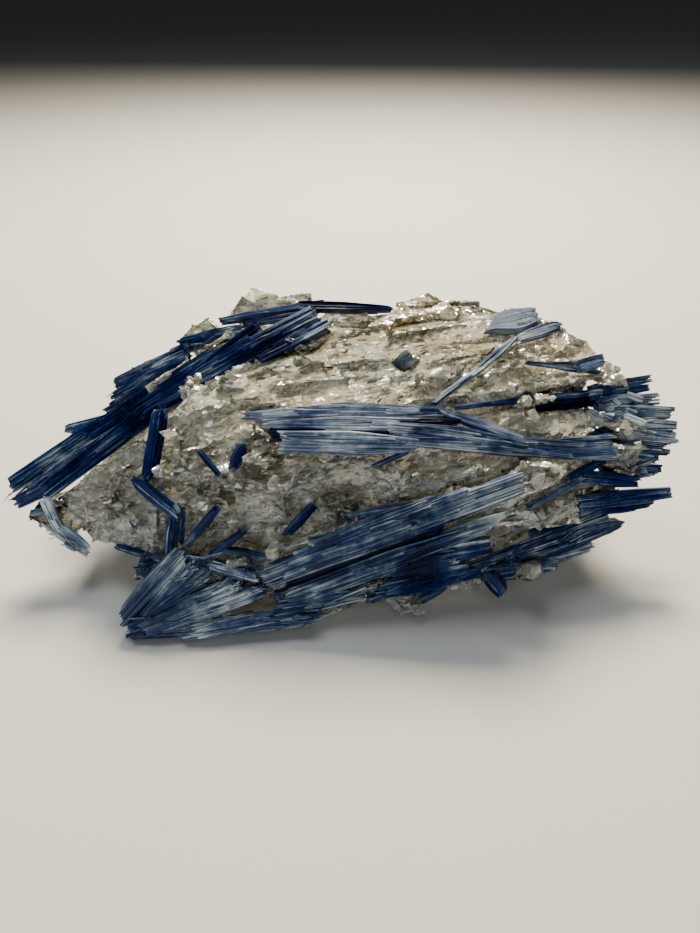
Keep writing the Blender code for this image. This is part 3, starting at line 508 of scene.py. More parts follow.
def lath_parts(row, style, draw):
    """A lath as slats side by side, then sheets and needles on its faces, and splinters past its
    ends."""
    start, end, width, thick, roll, start_share, end_share = row
    tail, head = placed(start, end)
    axes = lath_axes(tail, head, roll)
    length = float(np.linalg.norm(head - tail))
    drops = np.array(style.get("drops", ()))
    count = len(drops) or max(style["least"], round(width / style["pitch"]))
    widths = np.exp(draw.normal(0, 0.1 if len(drops) else 0.6, count))
    widths *= width / widths.sum()
    middles = np.cumsum(widths) - widths / 2 - width / 2
    # where each slat starts and stops, for the blade's outline to step in
    s = np.linspace(0, 1, OUTLINE + 1)
    share = np.interp(s, (0, 0.5, 1), (start_share, 1, end_share))
    narrow = 1 - style["taper"] * (1 - share)
    kept = share / narrow >= np.abs(middles)[:, None] / (width / 2) * INSIDE
    first = kept.argmax(1) / OUTLINE * length
    last = (1 - kept[:, ::-1].argmax(1) / OUTLINE) * length
    first += draw.uniform(-0.3, 1, count) * min(style["stagger"][0], STAGGER_SHARE * length)
    last -= draw.uniform(-0.3, 1, count) * min(style["stagger"][1], STAGGER_SHARE * length)
    relief = style["relief"] * thick
    low = -thick / 2 + draw.uniform(0, relief, count)
    high = thick / 2 - (drops * thick if len(drops) else draw.uniform(0, relief, count))
    spec = dict(first=first, last=np.maximum(last, first + 1), middle=middles, half=widths * SLAT_SHARE,
                low=low, high=high, skew=np.zeros(count), ridge=style["ridge"], blunt=0.9)
    stations = int(np.clip(round(length / STATION_PITCH), *STATIONS))
    local, *rest = slat_bars(stations, SLAT_RIDGES, spec, draw)
    # the whole blade narrows towards its ends
    local[..., 1] *= np.interp(local[..., 0] / length, s, narrow)
    local[..., 2] += style["bow"] * np.sin(np.pi * np.clip(local[..., 0] / length, 0, 1))
    parts = [(local, *rest)]
    for many, (area, reaches, halves, rises, skew, stations, ridges) in (
            (style["sheets"], SHEETS), (style["needles"], NEEDLES)):
        count = int(many * (length * width) / area + draw.uniform())
        if not count:
            continue
        reach = np.minimum(draw.uniform(*reaches, count), length / 2.2)
        middle = reach + draw.uniform(0, 1, count) * (length - 2 * reach)
        face = draw.choice((-1.0, 1.0), count, p=(0.2, 0.8))
        room = np.maximum(np.interp(middle / length, s, share) * width / 2 - 0.3, 0.1)
        half = np.minimum(draw.uniform(*halves, count), room)
        outer = face * (thick / 2 - draw.uniform(0, 0.7, count) * relief)
        rise = draw.uniform(*rises, count)
        spec = dict(first=middle - reach, last=middle + reach,
                    middle=draw.uniform(-1, 1, count) * (room - half), half=half,
                    low=outer - 0.3 - np.where(face < 0, rise, 0),
                    high=outer + np.where(face > 0, rise, 0.1), skew=draw.normal(0, skew, count),
                    ridge=style["ridge"], blunt=0.6)
        parts.append(slat_bars(stations, ridges, spec, draw))
    count = int(style["needles"] * width * SPLINTERS)
    for place, inward, tip_share, ends in ((0.0, 1, start_share, style["stagger"][0]),
                                           (length, -1, end_share, style["stagger"][1])):
        if not count or length < SHORT:
            continue
        tip = place + inward * draw.uniform(-0.2, 1, count) * min(ends, 3.0)
        root = tip + inward * draw.uniform(3, 7, count)
        room = width / 2 * tip_share
        level = draw.uniform(-0.5, 0.5, count) * thick
        spec = dict(first=np.minimum(tip, root), last=np.maximum(tip, root),
                    middle=draw.uniform(-1, 1, count) * room, half=draw.uniform(0.12, 0.5, count),
                    low=level - 0.2, high=level + draw.uniform(0.1, 0.3, count), skew=np.zeros(count),
                    ridge=style["ridge"], blunt=0.5)
        parts.append(slat_bars(6, SPLINTER_RIDGES, spec, draw))
    return [(tail + local.reshape(-1, 3) @ axes, *rest) for local, *rest in parts]


def joined_piece(name, parts, material, nodes, frost_and_highlight=0.0):
    """One object of many bars, kept within the solids' box."""
    offset = np.cumsum([0] + [len(part[0]) for part in parts])
    points = in_box(np.concatenate([part[0] for part in parts]))
    triangles = np.concatenate([part[1] + start for part, start in zip(parts, offset)])
    uv = np.concatenate([part[2] for part in parts])
    values = {label: np.concatenate([part[place] for part in parts])
              for place, label in enumerate(("tone", "fray", "painted_groove_shade"), 3)}
    # frosted patches, some of them painted highlights, and the piece's own share
    values["frost_and_highlight"] = patches(points, FROST_AND_HIGHLIGHTS) + frost_and_highlight
    return new_piece(name, points, triangles, material, nodes, uv, values)


def blade_piece(node, rows, material, number):
    """The surface of one blade node: each of its laths in slats, by its style."""
    draw = np.random.default_rng(SEED * 1000 + number)
    style = {**PLAIN, **STYLES.get(node, {})}
    parts = [part for place, row in enumerate(rows)
             for part in lath_parts(row, {**style, **ROW_STYLES.get((node, place), {})}, draw)]
    return joined_piece(f"{node}_surface", parts, material, [node])


def skin_search(points, triangles):
    """A search tree of the object's skin: the broken quartz and the solids of the blades."""
    every = [points]
    faces = [triangles]
    start = len(points)
    for node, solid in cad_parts.items():
        if node == "quartz_matrix":
            continue
        solid.data.calc_loop_triangles()
        corners = np.zeros(len(solid.data.vertices) * 3)
        loops = np.zeros(len(solid.data.loop_triangles) * 3, np.int32)
        solid.data.vertices.foreach_get("co", corners)
        solid.data.loop_triangles.foreach_get("vertices", loops)
        every.append(corners.reshape(-1, 3) / MM)
        faces.append(loops.reshape(-1, 3) + start)
        start += len(solid.data.vertices)
    return BVHTree.FromPolygons(np.concatenate(every).tolist(), np.concatenate(faces).tolist())


def on_skin(search, points):
    """The nearest place on the skin to each point, and the skin's normal there."""
    found = [search.find_nearest(point) for point in points]
    return np.array([hit[0] for hit in found]), np.array([hit[1] for hit in found])


CRACK_STAND = 0.1  # how far crack blades stand out of the skin
# how much darker the crack blades are, and the blades in the gaps, darkened as painted shade
CRACK_FROST, PAINTED_SHADE_DEPTH = -0.05, -0.45
FLAT = 0.85  # how flat on the skin splinters lie, from 0 to 1


def crack_blades(material, search):
    """Small laths that lie on the skin, broad face out, and stand out of it by a little."""
    draw = np.random.default_rng(SEED + 1)
    style = {**PLAIN, "pitch": 1.0, "stagger": (1.5, 1.5)}
    parts = []
    for start, end, width, thick in CRACK_BLADES:
        places, normals = on_skin(search, placed(start, end))
        out = unit(normals.sum(0))
        tail, head = places - SHIFT - out * (thick / 2 - CRACK_STAND)
        roll = math.degrees(math.atan2(-out[1], max(out[2], 0.01)))
        parts += lath_parts((tail, head, width, thick, roll, 0.6, 0.6), style, draw)
    return joined_piece("crack_blades", parts, material, [], CRACK_FROST)


def painted_shade_blades(material):
    """Blades between others, darkened as painted shade, with few sheets and needles."""
    draw = np.random.default_rng(SEED + 3)
    style = {**PLAIN, "sheets": 0.3, "needles": 0.3}
    parts = [part for row in PAINTED_SHADE_BLADES for part in lath_parts((*row, 0.7, 0.7), style, draw)]
    return joined_piece("painted_shade_blades", parts, material, [], PAINTED_SHADE_DEPTH)


def brush_piece(name, brush, material, number, search):
    """Loose splinters: each lies on the skin nearest a random point by the brush's line, mostly
    the brush's way and flat on the skin."""
    start, end, run, radius, count, lengths, widths, spread, frost_and_highlight = brush
    draw = np.random.default_rng(SEED * 100 + number)
    start, end = placed(start, end)
    about = start + draw.uniform(0, 1, (count, 1)) * (end - start) + draw.normal(0, 0.5, (count, 3)) * radius
    middle, out = on_skin(search, about)
    along = unit(np.array(run, float)) + draw.normal(0, spread, (count, 3))
    along = units(along - out * (along * out).sum(1)[:, None] * FLAT)
    across = units(np.cross(out + draw.normal(0, 0.25, (count, 3)), along))
    axes = np.stack([along, across, np.cross(along, across)], 1)
    reach = draw.uniform(*lengths, count) / 2
    half = draw.uniform(0, 1, count) ** 2 * (widths[1] - widths[0]) / 2 + widths[0] / 2
    rise = half * draw.uniform(0.3, 0.8, count)
    spec = dict(first=-reach, last=reach, middle=np.zeros(count), half=half, low=-rise, high=rise,
                skew=np.zeros(count), ridge=0.1, blunt=0.6)
    local, *rest = slat_bars(8, SPLINTER_RIDGES, spec, draw)
    points = (middle[:, None] + np.einsum("bni,bij->bnj", local, axes)).reshape(-1, 3)
    return joined_piece(f"{name}_splinters", [(points, *rest)], material, [], frost_and_highlight)


# --- the quartz ---------------------------------------------------------------------------------

VOXEL = 0.6
MOST_TRIANGLES = 190_000
PROUD, SUNK = 0.9, 2.6  # how far the broken surface may stand out of the solid, and lie in it
LEDGE_TURN = 17.0  # degrees from X, in plan, that the ledges across the top run
LEDGE_STRETCH = 8.0
LUMP_CORNERS = 36
LUMP_ROLL = 60

# Lumps of quartz that stand on the block, between and under blades: the two ends of each, its
# width and its height.
LUMPS = [
    ((-64, 2, 51.8), (-49, 12, 60.2), 3, 2.5), ((-46, 16, 60.6), (-36, 25, 63.6), 4, 3),
    ((53, -41.5, 10.5), (64.5, -38.5, 17), 10, 12), ((6, -45, 10), (16, -43, 13), 6, 7),
    ((15, -44, 4), (28, -42.5, 6), 5, 5), ((-34, -44, 20), (-25, -43.5, 21), 3, 4),
    ((-36, -52, 6.5), (-23, -51, 6), 4, 4.5), ((-63, -41, 9.5), (-60, -40, 15), 4, 5),
    ((-23, -43.5, 21.5), (-3, -41, 27), 4, 4.5), ((-3, -40, 29), (9, -37.5, 33.5), 4, 4),
    ((72, -30, 11), (78, -27, 13), 4, 4), ((94, -10, 36), (100, -9, 40), 6, 6),
    ((88, 2, 50), (98, 1, 50), 6, 5), ((88, -8, 46), (97, -7, 45), 6, 6),
    ((96, -4, 45), (102, -5, 42), 5, 6), ((36, -40, 6), (46, -37, 7), 5, 5),
    ((-37, 46, 65.5), (-20, 47, 65.5), 9, 8), ((-25, 46, 65), (-8, 46, 64), 7, 6),
]

# Grooves in the quartz: the two ends of each, its half width and its depth.
GROOVES = [
    ((64, -2.2, 50.5), (84, 5, 48), 3.0, 3.0), ((-4, -36, 36), (8, -35, 36), 2.4, 4.0),
    ((27, -21, 52), (40, -19, 53), 0.8, 2.0), ((-60, -40, 20.5), (-36, -41, 20), 0.8, 3.0),
]

# Where the surface lies lower, so that blades stand clear of it: centre, reach and depth.
DIPS = [
    ((-12, 21, 65), 6, 5.5), ((-7, 26, 66), 4, 3.0), ((-3, 36.5, 66), 5, 2.2), ((6, 36.5, 66), 6, 2.2),
    ((15, 36.5, 66), 5, 2.0), ((-32, 46.5, 71), 5, 2.4), ((-24, 26, 61), 4, 3.0), ((-36, 49, 72), 5, 1.6),
]

# Rounded places, where the surface is less broken: centre, reach and share.
CALM = [
    ((-30, 48, 69), 12, 1.0), ((-14, 47, 66), 7, 0.8), ((72, -11, 48), 12, 0.5),
    ((-44, 47, 36), 13, 0.85), ((-30, 48, 36), 13, 0.85), ((-16, 49, 36), 13, 0.85),
    ((0, 49, 36), 12, 0.7),
]

# Thin places that the scoops leave whole: centre, reach and strength.
SWELL = [
    ((-84, -30, 18), 9, 1.0), ((-90, -26, 22), 7, 0.8), ((-76, -34, 16), 8, 0.8),
    ((-68, -37, 15), 8, 0.6),
]

# Patches that differ from the rest of the quartz: centre, reach and strength. Smoky patches darken it, or
# with a strength below nothing make it cream; those in the slot under the right finger blade are painted
# shade.
SMOKE_AND_SHADE = [
    ((-72, -25, 28), 9, 0.9), ((-62, -27, 33), 6, 0.5), ((-12, -30, 40), 8, 0.5), ((2, -34, 32), 7, 0.8),
    ((46, -26, 44), 10, 0.5), ((62, 2, 58), 6, 0.5), ((-98, -25, 22), 8, 1.0), ((-30, -38, 20), 10, 0.7),
    ((10, -42, 9), 12, 0.6), ((60, -32, 12), 14, 0.5), ((66, 0, 50), 5, 0.9), ((80, 5, 48), 5, 0.9),
    ((58, -8, 53.5), 2, 0.8), ((70, -11, 48.7), 9, -1.0), ((84, -8, 47), 7, -1.0),
    ((60, -14, 51), 5, -0.9), ((-70, -20, 42), 7, 0.3), ((-60, -19, 47), 5, 0.25),
    ((30, -28, 42), 9, -0.25), ((-20, -30, 42), 8, -0.3), ((40, -33, 44), 8, -0.2),
    ((2, -36, 35), 6, 0.9), ((-8, -43, 20), 6, 0.8), ((6, -42, 23), 6, 0.8), ((20, -40, 26), 6, 0.8),
    ((-52, -41, 20), 6, 0.8), ((-38, -42, 20), 5, 0.8), ((30, -40, 9), 7, 0.7), ((50, -37, 12), 7, 0.7),
    ((28, -28, 46), 8, 0.4), ((-40, -20, 48), 8, 0.5),
]
STAIN = [
    ((21, 31, 65), 9, 1.0), ((8, 26, 64), 7, 0.5), ((40, 24, 63), 12, 0.6), ((66, 12, 60), 12, 0.5),
    ((58, 32, 64), 7, 0.6), ((78, 20, 60), 9, 0.4), ((-2, 16, 63), 9, 0.4), ((34, 42, 66), 8, 0.5),
    ((-14, -6, 58), 8, 0.3), ((62, -16, 50), 8, 0.3),
]

# The bowls of each kind of face, coarse to fine: the share of their height that it takes, the
# height that leaves it where it is, and their size, seed, curve and slope.
ROUGH = [(0.46, 2.6, 8.0, 20, 0.3, 1.8), (0.46, 1.3, 3.9, 30, 0.3, 1.8)]
LEDGED = [(0.26, 2.8, 9.0, 80, 0.3, 1.6), (0.30, 1.6, 4.5, 50, 0.5, 1.5), (0.22, 0.7, 2.0, 60, 0.5, 1.5)]
FINE = (0.7, 1.9, 40)  # the finest, on both kinds of face
FINE_SHARE, FINE_LESS = 0.24, 0.10  # its share, and how much less that is where a face looks up
BULGES = (13.0, 70, 0.5, 1.2)  # bowls that are turned over, so that they bulge
BULGE_SHARE, BULGE_LEVEL, BULGE_LEAST = 0.30, 4.0, -3

FACING_UP = (0.3, 0.75)  # the rise of a normal from which a face looks up, and does so in full
ROUGH_DROP = 0.2  # how much lower the rough faces lie
LIFT, SWELL_LIFT = 0.4, 1.6  # how far all of the skin is raised, and thin places besides
BESIDE_BLADE = 0.1  # how far the skin may stand out at a blade
GAP_START, GAP_RISE = 0.4, 0.5  # from how far off it may stand out more, and how much more
FOOT = 3.0  # height over the floor below which the skin is less and less broken


def hashed(cells, seed):
    """A number from 0 to 1 for each row of three whole numbers, by mixing their bits."""
    x, y, z = (cells.astype(np.int64) + 4096).astype(np.uint32).T
    bits = (x * np.uint32(73856093)) ^ (y * np.uint32(19349663)) ^ (z * np.uint32(83492791))
    bits ^= np.uint32(seed * 2654435 + 977)
    for shift in (13, 11):
        bits = (bits ^ (bits >> np.uint32(shift))) * np.uint32(1274126177)
    return (bits & np.uint32(0xFFFFFF)) / float(0xFFFFFF)


def scoops(points, size, seed, curve=0.5, slope=1.5):
    """Height over each point of the lowest of many tipped bowls, one in each cell of a grid: a
    bowl's height grows with the square of the distance from its middle, on a random slope. Broken
    quartz is such a meeting of hollows, with sharp ridges between them."""
    cell = np.floor(points / size)
    lowest = np.full(len(points), np.inf)
    for offset in np.ndindex(3, 3, 3):
        here = cell + np.array(offset) - 1
        middle = (here + np.stack([hashed(here, seed + k) for k in range(3)], 1)) * size
        away = points - middle
        tip = np.stack([hashed(here, seed + 3 + k) for k in range(3)], 1) - 0.5
        height = (curve * (away**2).sum(1) / size + slope * (away * tip).sum(1)
                  + 0.5 * size * hashed(here, seed + 6))
        lowest = np.minimum(lowest, height)
    return lowest


def scooped(points, table, height=0.0):
    """A height with the bowls of a table added to it."""
    for share, level, *form in table:
        height = height + share * (scoops(points, *form) - level)
    return height


def smoothstep(value, low, high):
    """A cubic that runs from 0 at low to 1 at high, level at both."""
    t = np.clip((value - low) / (high - low), 0, 1)
    return t * t * (3 - 2 * t)


def blade_gap(points):
    """How far each point, in millimetres, is out of the nearest box around a blade, by its worst
    axis; below nothing is inside."""
    least = np.full(len(points), np.inf)
    for rows in BLADES.values():
        for start, end, width, thick, roll, *_ in rows:
            tail, head = placed(start, end)
            local = (points - tail) @ lath_axes(tail, head, roll).T
            length = np.linalg.norm(head - tail)
            away = abs(local - (length / 2, 0, 0)) - (length / 2, width / 2, thick / 2)
            least = np.minimum(least, away.max(1))
    return least


def remade(mesh, kind, **settings):
    """A mesh after one modifier, as points and normals in millimetres, and triangles. The mesh is
    used up."""
    copy = bpy.data.objects.new("quartz in work", mesh)
    bpy.context.scene.collection.objects.link(copy)
    modifier = copy.modifiers.new("work", kind)
    for name, value in settings.items():
        setattr(modifier, name, value)
    made = bpy.data.meshes.new_from_object(copy.evaluated_get(bpy.context.evaluated_depsgraph_get()))
    bpy.data.objects.remove(copy)
    bpy.data.meshes.remove(mesh)
    made.calc_loop_triangles()
    points = np.zeros(len(made.vertices) * 3)
    normals = np.zeros(len(made.vertices) * 3, np.float32)
    triangles = np.zeros(len(made.loop_triangles) * 3, np.int32)
    made.vertices.foreach_get("co", points)
    made.vertex_normals.foreach_get("vector", normals)
    made.loop_triangles.foreach_get("vertices", triangles)
    bpy.data.meshes.remove(made)
    return points.reshape(-1, 3) / MM, triangles.reshape(-1, 3), normals.reshape(-1, 3).astype(float)


def add_lump(form, row, draw):
    """A lump of quartz in the form: the hull of random points on a drawn-out ball."""
    start, end, width, height = row
    tail, head = placed(start, end)
    axes = lath_axes(tail, head, LUMP_ROLL)
    ball = units(draw.normal(0, 1, (LUMP_CORNERS, 3)))
    reach = np.array((np.linalg.norm(head - tail) / 2 + 0.5, width / 2, height / 2))
    points = (tail + head) / 2 + (ball * reach) @ axes
    corners = [form.verts.new(point * MM) for point in points]
    bmesh.ops.convex_hull(form, input=corners)


def voxel_copy(source, size):
    """A closed copy of a solid, with the lumps joined on, in quads of about one size."""
    form = bmesh.new()
    form.from_mesh(source.data)
    bmesh.ops.remove_doubles(form, verts=form.verts, dist=1e-6)
    draw = np.random.default_rng(SEED + 2)
    for row in LUMPS:
        add_lump(form, row, draw)
    mesh = bpy.data.meshes.new("quartz voxels")
    form.to_mesh(mesh)
    form.free()
    return remade(mesh, "REMESH", mode="VOXEL", voxel_size=size * MM)


def to_facets(points, triangles, most):
    """The surface with its edges collapsed until it has no more than so many triangles, so that
    flat stretches become large flat faces."""
    mesh = triangle_mesh("quartz facets", points * MM, triangles)
    return remade(mesh, "DECIMATE", ratio=min(1.0, most / len(triangles)))


def ledge_space(points):
    """Points in a space turned to the ledges and squeezed along them, where round is drawn out."""
    turn = math.radians(LEDGE_TURN)
    run = points[:, 0] * math.cos(turn) + points[:, 1] * math.sin(turn)
    side = points[:, 1] * math.cos(turn) - points[:, 0] * math.sin(turn)
    return np.stack([run / LEDGE_STRETCH, side, points[:, 2]], 1)


def groove_depths(points):
    """How deep the deepest of the GROOVES is at each point: a bell across the line from end to end."""
    deepest = np.zeros(len(points))
    for start, end, half, depth in GROOVES:
        tail, head = placed(start, end)
        run = np.clip((points - tail) @ (head - tail) / ((head - tail) ** 2).sum(), 0, 1)[:, None]
        away = ((points - tail - run * (head - tail)) ** 2).sum(1)
        deepest = np.maximum(deepest, depth * np.exp(-away / half**2))
    return deepest


def break_quartz():
    """The quartz solid, with its lumps, each point moved along its normal: by bulges and bowls
    where it faces out, by bowls drawn out into ledges where it faces up, less in calm places, and
    never far out beside a blade or below the floor. Then grooves and dips sink it, and its flat
    stretches become facets. Gives points, triangles and normals, in millimetres."""
    points, triangles, normals = voxel_copy(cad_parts["quartz_matrix"], VOXEL)
    facing_up = smoothstep(normals[:, 2], *FACING_UP)
    swell = patches(points, SWELL)
    fine = scooped(points, [(FINE_SHARE - FINE_LESS * facing_up, *FINE)])
    bulges = BULGE_SHARE * np.maximum(BULGE_LEVEL - scoops(points, *BULGES), BULGE_LEAST)
    rough = scooped(points, ROUGH, bulges) + fine - ROUGH_DROP
    ledged = scooped(ledge_space(points), LEDGED) + fine
    height = rough + (ledged - rough) * facing_up + LIFT + SWELL_LIFT * swell
    height *= 1 - patches(points, CALM)
    most = np.clip(BESIDE_BLADE + GAP_RISE * (blade_gap(points) - GAP_START), BESIDE_BLADE, PROUD + swell)
    height = np.clip(height, -SUNK, most) * smoothstep(points[:, 2], 0.0, FOOT) - groove_depths(points)
    points = points + normals * height[:, None]
    points[:, 2] -= falling(points, DIPS)
    points[:, 2] = np.maximum(points[:, 2], 0.0)
    points, triangles, normals = to_facets(points, triangles, MOST_TRIANGLES)
    return in_box(points), triangles, normals


def quartz_piece(name, points, triangles, tone, material, nodes, crease):
    """A piece with what the quartz's finish reads: smoky patches, some of them painted shade, stain and how
    pale each part is.
    """
    values = {"smoke_and_shade": patches(points, SMOKE_AND_SHADE), "stain": patches(points, STAIN), "tone": tone}
    return new_piece(name, points, triangles, material, nodes, None, values, crease)


PLATES = 380
PLATE_SIZES = (0.7, 3.0)  # half lengths
CORNERS = 6
KEEL = 1.4  # how deep a plate's point is sunk, in half lengths
LOWEST, FARTHEST = 3, 12  # over the floor, and to the back, where plates start and end
STEEP = 0.5  # the most that a normal under a plate rises
CLEAR = 2.0  # of blades


def plate_piece(surface, normals, material):
    """The flat faces that quartz breaks to, where it faces the front or a side. Each is a low
    six-sided frustum with a flat top, a wider girdle and a point sunk under it, tipped a little
    off the surface and turned any way."""
    draw = np.random.default_rng(SEED)
    open_skin = np.flatnonzero((surface[:, 2] > LOWEST) & (surface[:, 1] < FARTHEST)
                               & (normals[:, 2] < STEEP) & (blade_gap(surface) > CLEAR))
    chosen = draw.choice(open_skin, PLATES, replace=False)
    low, high = PLATE_SIZES
    size = (low + (high - low) * draw.uniform(0, 1, PLATES) ** 2.2)[:, None]
    turn = (np.arange(CORNERS) + draw.uniform(-0.35, 0.35, (PLATES, CORNERS))) * 2 * np.pi / CORNERS
    reach = size * draw.uniform(0.7, 1.0, (PLATES, CORNERS))
    inner = reach * draw.uniform(0.55, 0.9, (PLATES, CORNERS))
    rise = size * draw.uniform(0.06, 0.22, (PLATES, 1))
    drop = -size * draw.uniform(0.2, 0.6, (PLATES, CORNERS))
    top = np.stack([inner * np.cos(turn), inner * np.sin(turn), np.broadcast_to(rise, inner.shape)], 2)
    girdle = np.stack([reach * np.cos(turn), reach * np.sin(turn), drop], 2)
    keel = np.concatenate([np.zeros((PLATES, 2)), -KEEL * size], 1)[:, None]
    local = np.concatenate([top, girdle, keel], 1)
    # of two sets of numbers drawn for a plate's length and its way, the second is used
    local *= np.stack([draw.uniform(0.8, 1.5, (2, PLATES))[1], draw.uniform(0.5, 1.0, PLATES),
                       np.ones(PLATES)], 1)[:, None]
    # each plate's own axes: any way along the surface, across that, and out of it but tipped
    out = units(normals[chosen] + draw.normal(0, 0.2, (PLATES, 3)))
    side = units(np.cross(out, draw.normal(0, 1, (2, PLATES, 3))[1]))
    axes = np.stack([np.cross(side, out), side, out], 1)
    centre = surface[chosen] - out * draw.uniform(0.0, 0.12, (PLATES, 1)) * size
    points = (centre[:, None] + local @ axes).reshape(-1, 3)
    k = np.arange(CORNERS)
    n = (k + 1) % CORNERS
    lid = np.stack([np.zeros(CORNERS - 2, int), k[1:-1], k[2:]], 1)
    sides = np.concatenate([lid, np.stack([k, k + CORNERS, n], 1), np.stack([n, k + CORNERS, n + CORNERS], 1),
                            np.stack([k + CORNERS, np.full(CORNERS, 2 * CORNERS), n + CORNERS], 1)])
    triangles = (np.arange(PLATES)[:, None, None] * (2 * CORNERS + 1) + sides).reshape(-1, 3)
    tone = np.repeat(draw.uniform(0, 1, PLATES), 2 * CORNERS + 1)
    return quartz_piece("quartz_fracture_faces", in_box(points), triangles, tone, material, [], 9.0)


# --- shader tools ---------------------------------------------------------------------------------

FLOAT, VECTOR = "NodeSocketFloat", "NodeSocketVector"


def put(tree, kind, inputs=None, **settings):
    """A node, its settings, and its inputs: a number, a colour or another node's output."""
    node = tree.nodes.new(kind)
    for name, value in settings.items():
        setattr(node, name, value)
    for name, value in (inputs or {}).items():
        socket = node.inputs[name]
        if isinstance(value, bpy.types.NodeSocket):
            tree.links.new(value, socket)
        else:
            socket.default_value = value
    return node


def maths(tree, operation, *values, clamp=False):
    node = put(tree, "ShaderNodeMath", dict(enumerate(values)), operation=operation, use_clamp=clamp)
    return node.outputs[0]


def times(tree, first, second, clamp=False):
    return maths(tree, "MULTIPLY", first, second, clamp=clamp)


def with_shares(tree, total, shares):
    """A value with a share of each of several others added to it."""
    for source, share in shares:
        total = maths(tree, "MULTIPLY_ADD", source, share, total)
    return total


def vector_maths(tree, operation, *values):
    return put(tree, "ShaderNodeVectorMath", dict(enumerate(values)), operation=operation).outputs[0]


def scaled(tree, vector, by):
    return put(tree, "ShaderNodeVectorMath", {0: vector, "Scale": by}, operation="SCALE").outputs[0]


def attribute(tree, name):
    return put(tree, "ShaderNodeAttribute", attribute_name=name).outputs["Fac"]


def object_place(tree):
    return put(tree, "ShaderNodeTexCoord").outputs["Object"]


def surface_normal(tree):
    return put(tree, "ShaderNodeNewGeometry").outputs["Normal"]


def upward(tree, vector):
    """The third part of a vector, which points up."""
    return put(tree, "ShaderNodeSeparateXYZ", {0: vector}).outputs[2]


def mixed(tree, factor, first, second):
    node = put(tree, "ShaderNodeMix", data_type="RGBA")
    for place, value in ((0, factor), (6, first), (7, second)):
        if isinstance(value, bpy.types.NodeSocket):
            tree.links.new(value, node.inputs[place])
        else:
            node.inputs[place].default_value = value if place == 0 else (*value, 1.0)
    return node.outputs[2]


def between(tree, value, low, high, first=0.0, second=1.0):
    """A value mapped from one span to another, with soft ends."""
    return put(tree, "ShaderNodeMapRange", {0: value, 1: low, 2: high, 3: first, 4: second},
               interpolation_type="SMOOTHSTEP").outputs[0]


def ramp(tree, value, stops):
    node = put(tree, "ShaderNodeValToRGB", {"Fac": value})
    elements = node.color_ramp.elements
    while len(elements) < len(stops):
        elements.new(1.0)
    for element, (place, colour) in zip(elements, stops):
        element.position = place
        element.color = (*colour, 1.0)
    return node.outputs[0]


def noise(tree, vector, scale, detail=3.0, roughness=0.55, distortion=0.0):
    return put(tree, "ShaderNodeTexNoise", {"Vector": vector, "Scale": scale, "Detail": detail,
                                            "Roughness": roughness, "Distortion": distortion}).outputs["Fac"]


def thread(tree, place, scale, width):
    """Thin lines where a noise passes its middle value."""
    field = noise(tree, place, scale, 5.0, 0.65, 0.8)
    return between(tree, maths(tree, "ABSOLUTE", maths(tree, "SUBTRACT", field, 0.5)), 0.0, width, 1.0, 0.0)


def stretched(tree, vector, scale, turn=(0, 0, 0)):
    return put(tree, "ShaderNodeMapping", {"Vector": vector, "Rotation": turn, "Scale": scale}).outputs[0]


def cell_pattern(tree, place, scale, feature="F1"):
    return put(tree, "ShaderNodeTexVoronoi", {"Vector": place, "Scale": scale}, feature=feature).outputs


def new_group(name, inputs, outputs):
    tree = bpy.data.node_groups.new(name, "ShaderNodeTree")
    for label, value in inputs.items():
        socket = tree.interface.new_socket(label, in_out="INPUT", socket_type=FLOAT)
        socket.default_value = value
    for label, kind in outputs.items():
        tree.interface.new_socket(label, in_out="OUTPUT", socket_type=kind)
    return tree, put(tree, "NodeGroupInput"), put(tree, "NodeGroupOutput")


def new_material(name, **sockets):
    material = bpy.data.materials.new(name)
    material.use_nodes = True
    shader = material.node_tree.nodes["Principled BSDF"]
    for label, value in sockets.items():
        shader.inputs[label.replace("_", " ")].default_value = value
    return material, material.node_tree, shader


# --- finishes ---------------------------------------------------------------------------------------

BLACK, NAVY, ROYAL = (0.0002, 0.0008, 0.012), (0.0004, 0.0045, 0.045), (0.002, 0.017, 0.095)
SLATE, GREY, PALE = (0.028, 0.056, 0.108), (0.13, 0.175, 0.225), (0.50, 0.55, 0.58)

